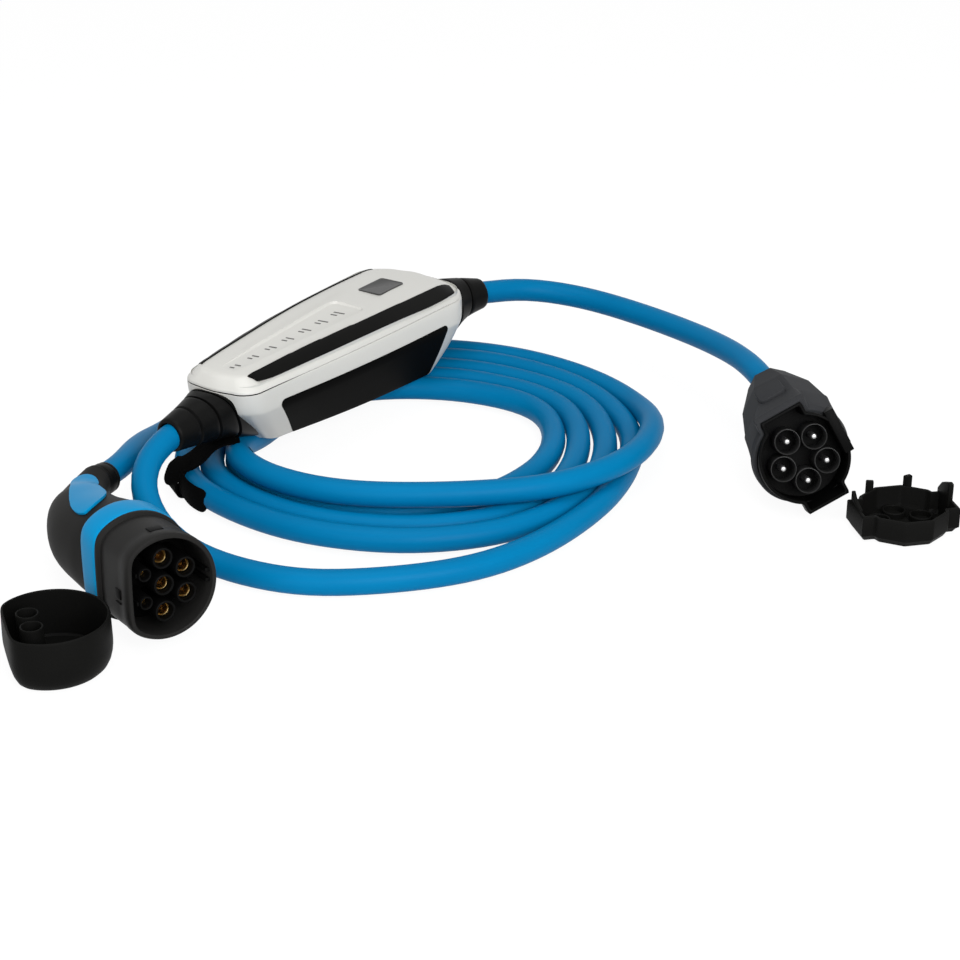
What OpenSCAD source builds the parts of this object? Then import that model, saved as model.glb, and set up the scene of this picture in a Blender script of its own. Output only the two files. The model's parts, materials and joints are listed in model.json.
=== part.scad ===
// Portable charger for an electric car: control box, supply plug, vehicle connector, two caps, cables.
// All sizes in millimetres. The floor is z = 0 and the control box lies along X.

/* [Layout] */
// Middle of the control box, X
box_x = 114.5; // [100:0.5:130]
// Middle of the control box, Y
box_y = 193; // [180:0.5:210]
// Underside of the control box above the floor
box_z = 18; // [18:0.5:24]
// Mouth of the vehicle connector, X
connector_x = -185.5; // [-190:0.5:-180]
// Mouth of the vehicle connector, Y
connector_y = 83.5; // [80:0.5:90]
// Face of the supply plug, X
plug_x = 156; // [152:0.5:160]
// Face of the supply plug, Y
plug_y = -141; // [-146:0.5:-136]
// Vehicle cap, X
vehicle_cap_x = -236; // [-244:0.5:-234]
// Vehicle cap, Y
vehicle_cap_y = 124; // [120:0.5:130]
// Supply cap, X
supply_cap_x = 171; // [166:0.5:176]
// Supply cap, Y
supply_cap_y = -203; // [-208:0.5:-198]
// Middle of the coil, X
coil_x = 98; // [94:0.5:102]
// Middle of the coil, Y
coil_y = 128; // [124:0.5:132]

/* [Control box] */
// Length at the shoulder
box_length = 231; // [226:1:236]
// Height from the foot to the top
box_height = 58; // [56:0.5:62]
// Length of the foot
foot_length = 147; // [140:1:152]
// Width of the top at the narrow end
top_narrow = 38; // [36:0.5:42]
// Width of the top at the wide end
top_wide = 67; // [62:0.5:70]
// Width of the shoulder at the narrow end
shoulder_narrow = 54; // [50:0.5:58]
// Width of the shoulder at the wide end
shoulder_wide = 84; // [80:0.5:88]
// Width of the belt at the narrow end
belt_narrow = 60; // [58:0.5:66]
// Width of the belt at the wide end
belt_wide = 95; // [92:0.5:102]
// Width of the foot at the narrow end
foot_narrow = 28; // [26:0.5:32]
// Width of the foot at the wide end
foot_wide = 63; // [58:0.5:68]
// Drop from the top to the shoulder
shoulder_drop = 8; // [7:0.5:9]
// Drop from the top to the belt
belt_drop = 22; // [20:0.5:24]
// Drop from the top to the seam between the covers
seam_drop = 13; // [12:0.5:14]
// Wall of the two covers
wall = 2.6; // [2.2:0.1:3]
// Depth of the pockets for the grips and the trim strips
pocket = 1.2; // [0.8:0.1:1.4]
// How far the grips and trim strips stand out
proud = 0.4; // [0.2:0.1:0.8]
// Width of a trim strip seen from above
trim_width = 9; // [7:0.5:10]

/* [Indicator] */
// Number of lights
light_count = 7; // [5:1:7]
// Distance between two lights
light_pitch = 18.35; // [17:0.05:19]
// Length of a light bar
light_bar = 5.2; // [4:0.1:6]
// Width of a light bar
light_bar_width = 1.3; // [1:0.1:1.8]
// Depth of the trough
trough_depth = 0.6; // [0.3:0.1:0.8]
// Length of the emblem plate
emblem_length = 31; // [26:0.5:34]
// Width of the emblem plate
emblem_width = 19.5; // [16:0.5:22]

/* [Vehicle connector] */
// Radius of the nose
nose_radius = 31; // [30:0.1:32]
// Distance from the axis to the flat of the nose
nose_flat = 23.5; // [23:0.1:25]
// Length of the nose
nose_length = 38; // [36:0.5:42]
// Wall of the nose
nose_wall = 2.8; // [2.4:0.1:3.2]
// Length of the blue collar
collar_length = 14; // [13:0.5:16]
// Pitch of the middle row of contacts
contact_pitch = 15.7; // [15:0.1:16.2]
// Radius of a power sleeve
power_sleeve = 6.2; // [5.8:0.1:6.6]
// Radius of a signal sleeve
signal_sleeve = 4; // [3.6:0.1:4.4]
// Bore radius of a power contact
power_bore = 3; // [2.6:0.1:3.2]
// Bore radius of a signal contact
signal_bore = 1.5; // [1.3:0.1:1.7]
// Length of the gland nut
gland_length = 12; // [11:0.5:16]
// Wall of the handle
handle_wall = 3; // [2.4:0.1:3.4]

/* [Supply plug] */
// Radius of the plug barrel
plug_radius = 28.7; // [28:0.1:30]
// Reach of the two lobes from the axis
lobe_reach = 32.4; // [31:0.1:34]
// Width of a lobe
lobe_width = 28.6; // [26:0.1:30]
// Depth of the lower lobe
lobe_depth = 12; // [9:0.5:12]
// Depth of the plug shroud
shroud_depth = 36; // [34:0.5:40]
// Radius of the circle the pins stand on
pin_circle = 14.5; // [14.3:0.1:15]
// Radius of a pin well
well_radius = 8.1; // [7.6:0.1:8.2]
// Radius of a pin
pin_radius = 2.4; // [2:0.1:2.8]
// Wall of the plug housing
housing_wall = 2.6; // [2.2:0.1:3]

/* [Caps] */
// Height of the vehicle cap
vehicle_cap_height = 31; // [28:0.5:34]
// Wall of the vehicle cap
vehicle_cap_wall = 1.4; // [1.2:0.1:2]
// Height of the supply cap
supply_cap_height = 17; // [16:0.5:20]
// Wall of the supply cap
supply_cap_wall = 2.6; // [2.2:0.1:3]

/* [Cables] */
// Diameter of both cables
cable_diameter = 16; // [14:0.1:16]
// Inner radius of the coil
coil_inner = 102; // [100:0.5:106]
// Outer radius of the coil
coil_outer = 150; // [146:0.5:150]
// Width of the strap
strap_width = 16; // [12:0.5:20]
// Thickness of the strap
strap_thickness = 1.5; // [1.2:0.1:1.6]

/* [Fits] */
// Sliding clearance on a radius
slide_fit = 0.2; // [0.1:0.05:0.4]
// Close clearance between pressed or glued pieces
close_fit = 0.1; // [0.05:0.05:0.2]

/* [Hidden] */
$fn = 48;

cable_r = cable_diameter / 2;
cable_bore = cable_r + slide_fit;
seam_z = box_height - seam_drop;
shoulder_z = box_height - shoulder_drop;
belt_z = box_height - belt_drop;
under_top = box_height - wall;
foot_x0 = -76 - (foot_length - 147) / 2;
foot_x1 = 71 + (foot_length - 147) / 2;
box_left = -118.5 - (box_length - 231) / 2;
box_right = 112.5 + (box_length - 231) / 2;
tall = box_height / 58;

// Levels of the box form: z, left end, right end, half widths narrow and wide, corner radius, lift
box_levels = [
    [0, foot_x0, foot_x1, foot_narrow / 2, foot_wide / 2, 9, -1],
    [belt_z, box_left + 3.5, box_right - 2.5, belt_narrow / 2, belt_wide / 2, 16, 0],
    [shoulder_z, box_left, box_right, shoulder_narrow / 2, shoulder_wide / 2, 14, 0],
    [box_height - 1.4, box_left + 5.5, box_right - 3.5, top_narrow / 2 + 2.2, top_wide / 2 + 2.2, 12, 0.6],
    [box_height, box_left + 7.5, box_right - 5.5, top_narrow / 2, top_wide / 2, 10, 1]];

// Boot stations: place, half width, half height, pitch, yaw
left_exit = [-162.5, 5, box_height - 28];
left_root = [-66, -1.5, box_height - 28];
right_exit = [151, -27.7, box_height - 26];
right_root = [64, 9, box_height - 26];
left_stations = [
    [[-90, 0, 21 * tall], 24, 26.5 * tall, -46, 180],
    [[-112, 0.5, 27 * tall], 20, 18.5 * tall, -22, 180],
    [[-128, 1.5, left_exit[2] - 0.6], 17, 15.5, -8, 178],
    [[-145, 3, left_exit[2] - 0.2], 14, 13, -3, 177],
    [left_exit, 10.8, 10.8, 0, 176]];
right_stations = [
    [[80, 0, 21 * tall], 30, 26.5 * tall, -48, 0],
    [[105, -4, 28 * tall], 25, 19 * tall, -22, -8],
    [[122, -12, right_exit[2] - 1], 19, 15.5, -8, -16],
    [[137, -20, right_exit[2] - 0.2], 14, 13, -3, -22],
    [right_exit, 10.8, 10.8, 0, -24]];

// Screw posts and boards inside the box
post_places = [[-40, -12], [-40, 12], [50, -22], [50, 22]];
post_r = 5;
screw_r = 1.5;
screw_head_r = 3.2;
screw_head_h = 2.4;
screw_seat = 6;
board_z = 14;
board_t = 1.6;
light_y = -3.4;
light_x0 = -45.5 - light_pitch * 3;
led_board_z = under_top - 8.3;
led_board_t = 1.2;
led_board_x0 = light_x0 - 3.5;
led_board_l = light_pitch * (light_count - 1) + 13;
peg_places = [light_x0 + light_pitch / 2, light_x0 + light_pitch * (light_count - 1.5)];

// Vehicle connector
connector_place = [connector_x, connector_y, 38.4];
connector_turn = [-2.5, -4.1, -113.5];
nose_inner = nose_radius - nose_wall;
nose_inner_flat = nose_flat - nose_wall;
spigot_r = 27;
spigot_flat = 20;
carrier_x = -nose_length + 4;
sleeve_front = -3.5;
plate_front = carrier_x + 5;
power_places = [[0, -contact_pitch], [0, 0], [0, contact_pitch], [13.5, -7.6], [13.5, 7.6]];
signal_places = [[-11.2, -8.3], [-11.2, 8.3]];
handle_x = -nose_length - collar_length;
gland_place = [-154, 30, 8];
handle_stations = [
    [[handle_x, 3.5, 0], 28.9, 31.7, 0],
    [[-58, 2.4, 0], 29.8, 30.8, 0],
    [[-72, 1, 0], 30.2, 28.2, 0],
    [[-96, 1, 0], 26.8, 24.4, 6],
    [[-118, 5, 2], 21.6, 20.2, 18],
    [[-134, 12.5, 3.5], 16, 14.4, 32],
    [[-146, 21.5, 6], 13.2, 11.6, 48],
    [gland_place, 11.2, 11.2, 60]];
gland_yaw = 120;

// Supply plug
plug_place = [plug_x, plug_y, 38.5];
plug_angle = 26;
mouth_angle = 17;
plug_tail = [9.7, 39, -78];
plug_tail_way = [0.098, 0.583, -0.807];
insert_front = 12 - shroud_depth;

// Routes of the cables, chosen by hand on the floor plan
lead_route = [
    [48.5, 191.5, box_z + left_exit[2]], [-10, 195.4, box_z + left_exit[2]],
    [-48, 198, box_z + left_exit[2]], [-68, 195, 44], [-87, 184, 36], [-99, 166, 25],
    [-104, 143, 14], [-105, 115, 8.2], [-103, 83, 8.2], [-97, 58, 8.2], [-82, 35, 8.2], [-62, 12, 8.2],
    [-40, -8, 8.2], [-12, -24, 8.2], [27, -36, 8.2], [78, -41, 8.2], [122, -38, 8.2], [166, -22, 8.2],
    [206, 5, 8.2], [239, 42, 8.2], [260, 84, 8.2], [267, 130, 8.2], [258, 176, 8.2], [236, 218, 8.2],
    [202, 250, 8.6], [164, 262, 9], [122, 262, 9.6], [88, 256, 9.6]];
supply_route = [
    [178.5, 202, box_z + right_exit[2]], [230, 180.3, box_z + right_exit[2]],
    [271, 163, box_z + right_exit[2]], [297, 151, 48], [310, 133, 46], [314.5, 115, 45],
    [315, 94, 44], [312, 72, 43.6], [306, 48, 44], [297, 23, 45.4], [285, -2, 47.4], [271, -25, 49.4],
    [256, -46.5, 51.4], [241, -63, 52.8], [229, -76, 52.8], [221.44, -83.98, 51.36], [213.64, -92.06, 48.07]];
tail_route = [
    [26, 231, 9.6], [-6, 200, 18], [-23, 165, 25.8], [-24, 140, 25.8], [-16, 112, 25.8], [-6, 82, 25.8],
    [10, 48, 25.8], [32, 15, 25.8], [61, -16, 25.8], [102, -35, 25.8], [141, -38, 25.8], [180, -27, 25],
    [217, -3, 22], [247, 27, 15], [270, 62, 9], [285, 100, 8.2], [289, 140, 8.2], [282, 180, 8.2],
    [262, 217, 8.2], [236, 252, 8.2], [195, 277, 8.2], [150, 285, 8.2], [110, 288, 8.2], [70, 286, 8.2],
    [36, 278, 9], [12, 264, 17], [-8, 250, 24], [-24, 237.5, 29], [-42, 226.5, 31.5],
    [-60, 218.6, 32], [-74, 215.2, 32.4], [-84.7, 214, 33.2], [-100.2, 212.3, 34.35]];

function unit(v) = v / norm(v);
function heading(p, i) = unit(p[min(i + 1, len(p) - 1)] - p[max(i - 1, 0)]);
function ring_side(t) = unit(cross(t, [0, 0, 1]));
function ring_point(p, i, r, a) = p[i] + r * (cos(a) * ring_side(heading(p, i))
    + sin(a) * cross(ring_side(heading(p, i)), heading(p, i)));

// Round tube through the points of a route
module tube(p, r, n) {
    rings = len(p);
    points = [for (i = [0 : rings - 1]) for (j = [0 : n - 1]) ring_point(p, i, r, 360 * j / n)];
    sides = [for (i = [0 : rings - 2]) for (j = [0 : n - 1]) for (k = [0, 1])
        k == 0 ? [i * n + j, i * n + (j + 1) % n, (i + 1) * n + (j + 1) % n]
            : [i * n + j, (i + 1) * n + (j + 1) % n, (i + 1) * n + j]];
    first = [[for (j = [0 : n - 1]) n - 1 - j]];
    last = [[for (j = [0 : n - 1]) (rings - 1) * n + j]];
    polyhedron(points = points, faces = concat(sides, first, last), convexity = 6);
}

// Thin oval disc facing along a yaw and a pitch
module disc_at(c, half_w, half_h, pitch, yaw) {
    translate(c)
        rotate([0, 90 - pitch, yaw])
            scale([half_h, half_w, 1])
                cylinder(r = 1, h = 0.2, center = true, $fn = 32);
}

// Straight round bar between two points
module bar(a, b, r) {
    d = b - a;
    translate(a)
        rotate([0, acos(d[2] / norm(d)), atan2(d[1], d[0])])
            cylinder(r = r, h = norm(d));
}

// Outer form of the box grown by g, one hull
module box_form(g) {
    hull() {
        for (v = box_levels) {
            for (s = [-1, 1]) {
                translate([v[1] + v[5], s * (v[3] - v[5]), v[0] + v[6] * g])
                    cylinder(r = v[5] + g, h = 0.02, center = true, $fn = 32);
                translate([v[2] - v[5], s * (v[4] - v[5]), v[0] + v[6] * g])
                    cylinder(r = v[5] + g, h = 0.02, center = true, $fn = 32);
            }
        }
    }
}

module box_place() {
    translate([box_x, box_y, box_z]) children();
}

module grip_zone(side, g) {
    rotate([90, 0, 0])
        linear_extrude(height = 160, center = true)
            polygon([[foot_x0 - 12 - g, belt_z + 0.5], [foot_x0 - 9, belt_z + 1.5 + g],
                [foot_x1 + 4, belt_z + 1.5 + g], [foot_x1 + 7 + g, belt_z - 1],
                [foot_x1 - 5 + g, 3 - g], [foot_x0 + 11 - g, 6 - g]]);
}

// The half of space on one side of the box's long axis, clear of its middle
module side_space(side) {
    translate([-150, side > 0 ? 4 : -104, -5]) cube([300, 100, 90]);
}

module trim_zone(side, g) {
    translate([0, 0, seam_z + 1])
        linear_extrude(height = 40)
            polygon([[box_left + 12 - g, side * (top_narrow / 2 + 0.6 - g)],
                [box_left + 17, side * (top_narrow / 2 + 0.8 + trim_width * 0.9 + g)],
                [box_left + 19, side * (top_narrow / 2 + 1.2 + trim_width + g)],
                [box_right - 12, side * (top_wide / 2 + 0.5 + trim_width + g)],
                [box_right - 9 + g, side * (top_wide / 2 + trim_width - 0.5)],
                [box_right - 9 + g, side * (top_wide / 2 + 2.5 - g)],
                [box_right - 13, side * (top_wide / 2 + 0.3 - g)]]);
}

module trough_zone() {
    hull() {
        translate([light_x0 - 2.5, light_y, 0]) cylinder(r = 6.5, h = 10);
        translate([23, 8, 0]) cylinder(r = 2.6, h = 10);
        translate([23, -13, 0]) cylinder(r = 2.6, h = 10);
    }
}

module light_bars(g) {
    for (k = [0 : light_count - 1]) {
        translate([light_x0 + k * light_pitch - 1.2, light_y + 1.6, 0])
            rotate([0, 0, 24])
                cube([light_bar_width + 2 * g, light_bar + 2 * g, 20], center = true);
        translate([light_x0 + k * light_pitch + 1.6, light_y - 1, 0])
            rotate([0, 0, 24])
                cube([light_bar_width + 2 * g, light_bar + 2 * g, 20], center = true);
    }
}

module emblem_shape(g) {
    a = emblem_length / 2 + g;
    b = emblem_width / 2 + g;
    linear_extrude(height = 10)
        polygon([[-a + 2, -b], [a - 2, -b], [a, -b + 2], [a, b - 2], [a - 2, b], [-a + 2, b],
            [-a, b - 2], [-a, -b + 2]]);
}

module top_cover() {
    color([0.82, 0.82, 0.8])
        box_place() {
            difference() {
                union() {
                    difference() {
                        box_form(0);
                        box_form(-wall);
                        translate([-200, -100, -50]) cube([400, 200, 50 + seam_z]);
                    }
                    for (p = post_places) {
                        translate([p[0], p[1], board_z + board_t + slide_fit])
                            cylinder(r = post_r, h = under_top + 0.5 - board_z - board_t - slide_fit);
                        translate([p[0], p[1], board_z]) cylinder(r = 3, h = 4);
                    }
                    for (x = peg_places) {
                        translate([x, light_y, led_board_z + led_board_t])
                            cylinder(r = 2, h = under_top + 0.5 - led_board_z - led_board_t);
                        translate([x, light_y, led_board_z - 0.2]) cylinder(r = 1.2, h = 4);
                        translate([x, light_y, led_board_z - 1]) cylinder(r = 2, h = 0.9);
                    }
                }
                translate([0, 0, box_height - trough_depth]) trough_zone();
                translate([0, 0, box_height]) light_bars(close_fit);
                translate([69, 2, box_height - 0.8]) emblem_shape(close_fit);
                for (side = [-1, 1]) {
                    difference() {
                        trim_zone(side, close_fit);
                        box_form(-pocket - close_fit);
                    }
                }
                for (p = post_places) {
                    translate([p[0], p[1], board_z - 1]) cylinder(r = screw_r + close_fit, h = 16);
                }
            }
        }
}

module bottom_cover() {
    color([0.8, 0.8, 0.78])
        box_place() {
            difference() {
                union() {
                    difference() {
                        box_form(0);
                        box_form(-wall);
                        translate([-200, -100, seam_z]) cube([400, 200, 60]);
                    }
                    for (p = post_places) {
                        translate([p[0], p[1], wall - 0.4]) cylinder(r = post_r, h = board_z - wall + 0.4);
                    }
                }
                difference() {
                    translate([-200, -100, seam_z - 1.2]) cube([400, 200, 10]);
                    difference() {
                        translate([-200, -100, seam_z - 5]) cube([400, 200, 20]);
                        box_form(-0.8);
                    }
                    box_form(-1.7);
                }
                for (side = [-1, 1]) {
                    difference() {
                        intersection() {
                            grip_zone(side, close_fit);
                            side_space(side);
                        }
                        box_form(-pocket - close_fit);
                    }
                }
                for (p = post_places) {
                    translate([p[0], p[1], -1]) cylinder(r = screw_r + slide_fit, h = 40);
                    translate([p[0], p[1], -1]) cylinder(r = screw_head_r + slide_fit, h = screw_seat + 1);
                }
                bar(left_root, left_exit, 11.5 + slide_fit);
                bar(right_root, right_exit, 11.5 + slide_fit);
            }
        }
}

module housing_seal() {
    color([0.12, 0.12, 0.12])
        box_place() {
            difference() {
                box_form(-0.85);
                box_form(-1.65);
                translate([-200, -100, seam_z]) cube([400, 200, 60]);
                translate([-200, -100, -50]) cube([400, 200, 50 + seam_z - 1.1]);
            }
        }
}

module grip(side) {
    box_place() {
        difference() {
            intersection() {
                grip_zone(side, 0);
                side_space(side);
                box_form(proud);
            }
            box_form(-pocket);
        }
    }
}

module near_grip() {
    color([0.06, 0.06, 0.06]) grip(-1);
}

module far_grip() {
    color([0.06, 0.06, 0.06]) grip(1);
}

module trim(side) {
    box_place() {
        difference() {
            intersection() {
                trim_zone(side, 0);
                box_form(proud);
            }
            box_form(-pocket);
        }
    }
}

module near_trim() {
    color([0.05, 0.05, 0.05]) trim(-1);
}

module far_trim() {
    color([0.05, 0.05, 0.05]) trim(1);
}

module indicator_window() {
    color([0.3, 0.3, 0.3])
        box_place() {
            difference() {
                union() {
                    translate([led_board_x0, light_y - 3.5, under_top - 1.6]) cube([led_board_l, 7, 1.5]);
                    intersection() {
                        translate([0, 0, box_height]) light_bars(0);
                        translate([led_board_x0, light_y - 8, under_top - 1])
                            cube([led_board_l, 16, wall - trough_depth + 1]);
                    }
                }
                for (x = peg_places) {
                    translate([x, light_y, under_top - 5]) cylinder(r = 2 + slide_fit, h = 10);
                }
            }
        }
}

module emblem_plate() {
    color([0.2, 0.2, 0.21])
        box_place() {
            intersection() {
                translate([69, 2, box_height - 0.8 + close_fit / 2]) emblem_shape(0);
                translate([0, -50, 0]) cube([150, 100, box_height + 0.3]);
            }
        }
}

module circuit_board() {
    color([0.1, 0.35, 0.15])
        box_place() {
            difference() {
                translate([0, 0, board_z])
                    linear_extrude(height = board_t)
                        polygon([[-58, -17], [57, -28], [57, 28], [-58, 17]]);
                for (p = post_places) {
                    translate([p[0], p[1], board_z - 1]) cylinder(r = 3 + slide_fit, h = 5);
                }
            }
        }
}

module relays() {
    color([0.1, 0.1, 0.1])
        box_place() {
            translate([8, 3, board_z + board_t]) cube([24, 17, 20]);
            translate([8, -20, board_z + board_t]) cube([24, 17, 20]);
        }
}

module residual_current_core() {
    color([0.15, 0.2, 0.3])
        box_place() {
            translate([-16, 0, board_z + board_t + 12])
                rotate([0, 90, 0])
                    difference() {
                        cylinder(r = 12, h = 10, center = true);
                        cylinder(r = 7, h = 12, center = true);
                    }
        }
}

module power_supply_module() {
    color([0.12, 0.12, 0.12])
        box_place() {
            translate([37, -13, board_z + board_t]) cube([17, 26, 16]);
        }
}

module control_module() {
    color([0.6, 0.6, 0.6])
        box_place() {
            translate([-10, 12, board_z + board_t]) cube([16, 8, 6]);
        }
}

module terminal_blocks() {
    color([0.2, 0.5, 0.25])
        box_place() {
            translate([-57, -13, board_z + board_t]) cube([9, 26, 10]);
            translate([-8, -20, board_z + board_t]) cube([9, 10, 10]);
        }
}

module led_board() {
    color([0.1, 0.3, 0.2])
        box_place() {
            difference() {
                translate([led_board_x0, light_y - 3.5, led_board_z]) cube([led_board_l, 7, led_board_t]);
                for (x = peg_places) {
                    translate([x, light_y, led_board_z - 1]) cylinder(r = 1.2 + slide_fit, h = 4);
                }
            }
        }
}

module indicator_leds() {
    color([0.9, 0.9, 0.8])
        box_place() {
            for (k = [0 : light_count - 1]) {
                translate([light_x0 + k * light_pitch - 1.6, light_y - 1.4, led_board_z + led_board_t])
                    cube([3.2, 2.8, 1.6]);
            }
        }
}

module cover_screws() {
    color([0.6, 0.6, 0.62])
        box_place() {
            for (p = post_places) {
                translate([p[0], p[1], screw_seat - screw_head_h]) {
                    difference() {
                        cylinder(r = screw_head_r, h = screw_head_h);
                        translate([0, 0, -1]) cylinder(r = 1.4, h = 2.4, $fn = 6);
                    }
                }
                translate([p[0], p[1], screw_seat - 0.1]) cylinder(r = screw_r, h = 20);
            }
        }
}

// Stepped loft of a boot
module boot_form(s) {
    for (i = [0 : len(s) - 2]) {
        k = i == len(s) - 2 ? 1 : 0.95;
        hull() {
            disc_at(s[i][0], s[i][1], s[i][2], s[i][3], s[i][4]);
            disc_at(s[i + 1][0], s[i + 1][1] * k, s[i + 1][2] * k, s[i + 1][3], s[i + 1][4]);
        }
    }
}

module boot(s, root, exit) {
    way = unit(exit - root);
    box_place() {
        difference() {
            union() {
                difference() {
                    boot_form(s);
                    box_form(0);
                }
                bar(root + 30 * way, root + 56 * way, 11.5);
            }
            bar(root, exit + 4 * way, cable_bore);
        }
    }
}

module vehicle_side_boot() {
    color([0.05, 0.05, 0.05]) boot(left_stations, left_root, left_exit);
}

module supply_side_boot() {
    color([0.05, 0.05, 0.05]) boot(right_stations, right_root, right_exit);
}

module vehicle_side_clamp() {
    color([0.3, 0.3, 0.3])
        box_place() {
            difference() {
                translate([-75, -13, wall]) cube([10, 23, left_exit[2] + 10]);
                bar(left_root + [10, -0.6, 0], left_exit, cable_bore);
                box_shell_clear();
            }
        }
}

module supply_side_clamp() {
    color([0.3, 0.3, 0.3])
        box_place() {
            difference() {
                translate([60, -4, wall]) cube([10, 26, right_exit[2] + 10]);
                bar(right_root - [10, -4.2, 0], right_exit, cable_bore);
                box_shell_clear();
            }
        }
}

// Everything outside the inner faces of the covers
module box_shell_clear() {
    difference() {
        translate([-150, -100, -10]) cube([300, 200, 100]);
        box_form(-wall);
    }
}

module connector_frame() {
    translate(connector_place) rotate(connector_turn) children();
}

module d_shape(r, flat) {
    intersection() {
        circle(r = r);
        translate([-flat, -r - 1]) square([flat + r + 1, 2 * r + 2]);
    }
}

module along_x(x, l) {
    translate([x, 0, 0]) rotate([90, 0, 90]) linear_extrude(height = l) children();
}

module nose_shroud() {
    color([0.07, 0.07, 0.07])
        connector_frame() {
            difference() {
                union() {
                    along_x(-nose_length, nose_length) d_shape(nose_radius, nose_flat);
                    along_x(handle_x - 5, collar_length + 6) d_shape(spigot_r, spigot_flat);
                }
                along_x(carrier_x, nose_length) d_shape(nose_inner, nose_inner_flat);
                along_x(handle_x - 6, nose_length) d_shape(spigot_r - 2.4, spigot_flat - 2.4);
                translate([-nose_length + 8, 0, nose_radius - 6]) translate([0, -3, 0]) cube([7, 6, 10]);
                translate([-20, -nose_flat - 5, -14]) cube([7, 10, 6]);
            }
            translate([carrier_x + 6, nose_inner - 2.2, -2]) cube([nose_length - 16, 3, 4]);
        }
}

module contact_carrier() {
    color([0.05, 0.05, 0.05])
        connector_frame() {
            difference() {
                along_x(carrier_x, plate_front - carrier_x)
                    d_shape(nose_inner - close_fit, nose_inner_flat - close_fit);
                for (p = power_places) {
                    along_x(carrier_x - 1, nose_length) translate(p) circle(r = power_bore + 1.4 + close_fit);
                }
                for (p = signal_places) {
                    along_x(carrier_x - 1, nose_length) translate(p) circle(r = signal_bore + 0.9 + close_fit);
                }
            }
        }
}

module sleeve(p, r, bore) {
    along_x(plate_front, sleeve_front - plate_front)
        translate(p)
            difference() {
                circle(r = r);
                circle(r = bore);
            }
}

module contact_sleeves() {
    color([0.05, 0.05, 0.05])
        connector_frame() {
            for (p = power_places) {
                sleeve(p, power_sleeve, power_bore + 1.4 + close_fit);
            }
            for (p = signal_places) {
                sleeve(p, signal_sleeve, signal_bore + 0.9 + close_fit);
            }
        }
}

module contact(p, bore, rim) {
    difference() {
        union() {
            along_x(carrier_x - 10, sleeve_front - 3.4 - carrier_x + 10) translate(p) circle(r = bore + rim);
            along_x(carrier_x - 3, 3) translate(p) circle(r = bore + rim + 0.8);
        }
        along_x(sleeve_front - 22, 40) translate(p) circle(r = bore);
    }
}

module power_contacts() {
    color([0.75, 0.6, 0.25])
        connector_frame() {
            for (p = power_places) {
                contact(p, power_bore, 1.4);
            }
        }
}

module signal_contacts() {
    color([0.75, 0.6, 0.25])
        connector_frame() {
            for (p = signal_places) {
                contact(p, signal_bore, 0.9);
            }
        }
}

module collar() {
    color([0, 0.45, 0.7])
        connector_frame() {
            difference() {
                hull() {
                    along_x(handle_x, 1) d_shape(nose_radius + 2.8, nose_flat + 2.8, $fn = 64);
                    along_x(-nose_length - 1, 1) d_shape(nose_radius + 2, nose_flat + 2, $fn = 64);
                }
                along_x(handle_x - 1, collar_length + 2) d_shape(spigot_r + close_fit, spigot_flat + close_fit);
            }
        }
}

module handle_form(g) {
    s = handle_stations;
    for (i = [0 : len(s) - 2]) {
        hull() {
            disc_at(s[i][0], s[i][1] + g, s[i][2] + g, 0, 180 - s[i][3]);
            disc_at(s[i + 1][0], s[i + 1][1] + g, s[i + 1][2] + g, 0, 180 - s[i + 1][3]);
        }
    }
}

module pad_zone(g) {
    linear_extrude(height = 60)
        hull() {
            translate([-75, -12]) circle(r = 1.5 + g);
            translate([-97, -1]) circle(r = 9.6 + g);
            translate([-112, 4.4]) circle(r = 8.8 + g);
            translate([-136, 15]) circle(r = 6.2 + g);
        }
}

module connector_handle() {
    color([0.1, 0.1, 0.1])
        connector_frame() {
            difference() {
                handle_form(0);
                intersection() {
                    handle_form(-handle_wall);
                    translate([-145, -80, -80]) cube([200, 160, 160]);
                }
                translate([handle_x - 0.1, -60, -60]) cube([20, 120, 120]);
                along_x(handle_x - 8, 20) d_shape(spigot_r + slide_fit, spigot_flat + slide_fit);
                difference() {
                    pad_zone(close_fit);
                    handle_form(-1 - close_fit);
                }
                translate(gland_place)
                    rotate([0, 90, gland_yaw])
                        cylinder(r = cable_bore, h = 36, center = true);
            }
        }
}

module handle_pad() {
    color([0, 0.45, 0.7])
        connector_frame() {
            difference() {
                intersection() {
                    handle_form(0.4);
                    pad_zone(0);
                }
                handle_form(-1);
            }
        }
}

module gland_nut() {
    color([0.08, 0.08, 0.08])
        connector_frame() {
            translate(gland_place)
                rotate([0, 90, gland_yaw])
                    difference() {
                        union() {
                            translate([0, 0, 0.1]) cylinder(r = 10.9, h = gland_length - 3);
                            translate([0, 0, gland_length - 3]) cylinder(r1 = 10.9, r2 = 9.8, h = 3);
                        }
                        translate([0, 0, -1]) cylinder(r = cable_bore, h = gland_length + 5);
                    }
        }
}

// Outline of the vehicle cap, which slides over the nose, grown by g
module cap_outline(g) {
    d_shape(nose_radius + slide_fit + g, nose_flat + slide_fit + g, $fn = 64);
}

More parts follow.
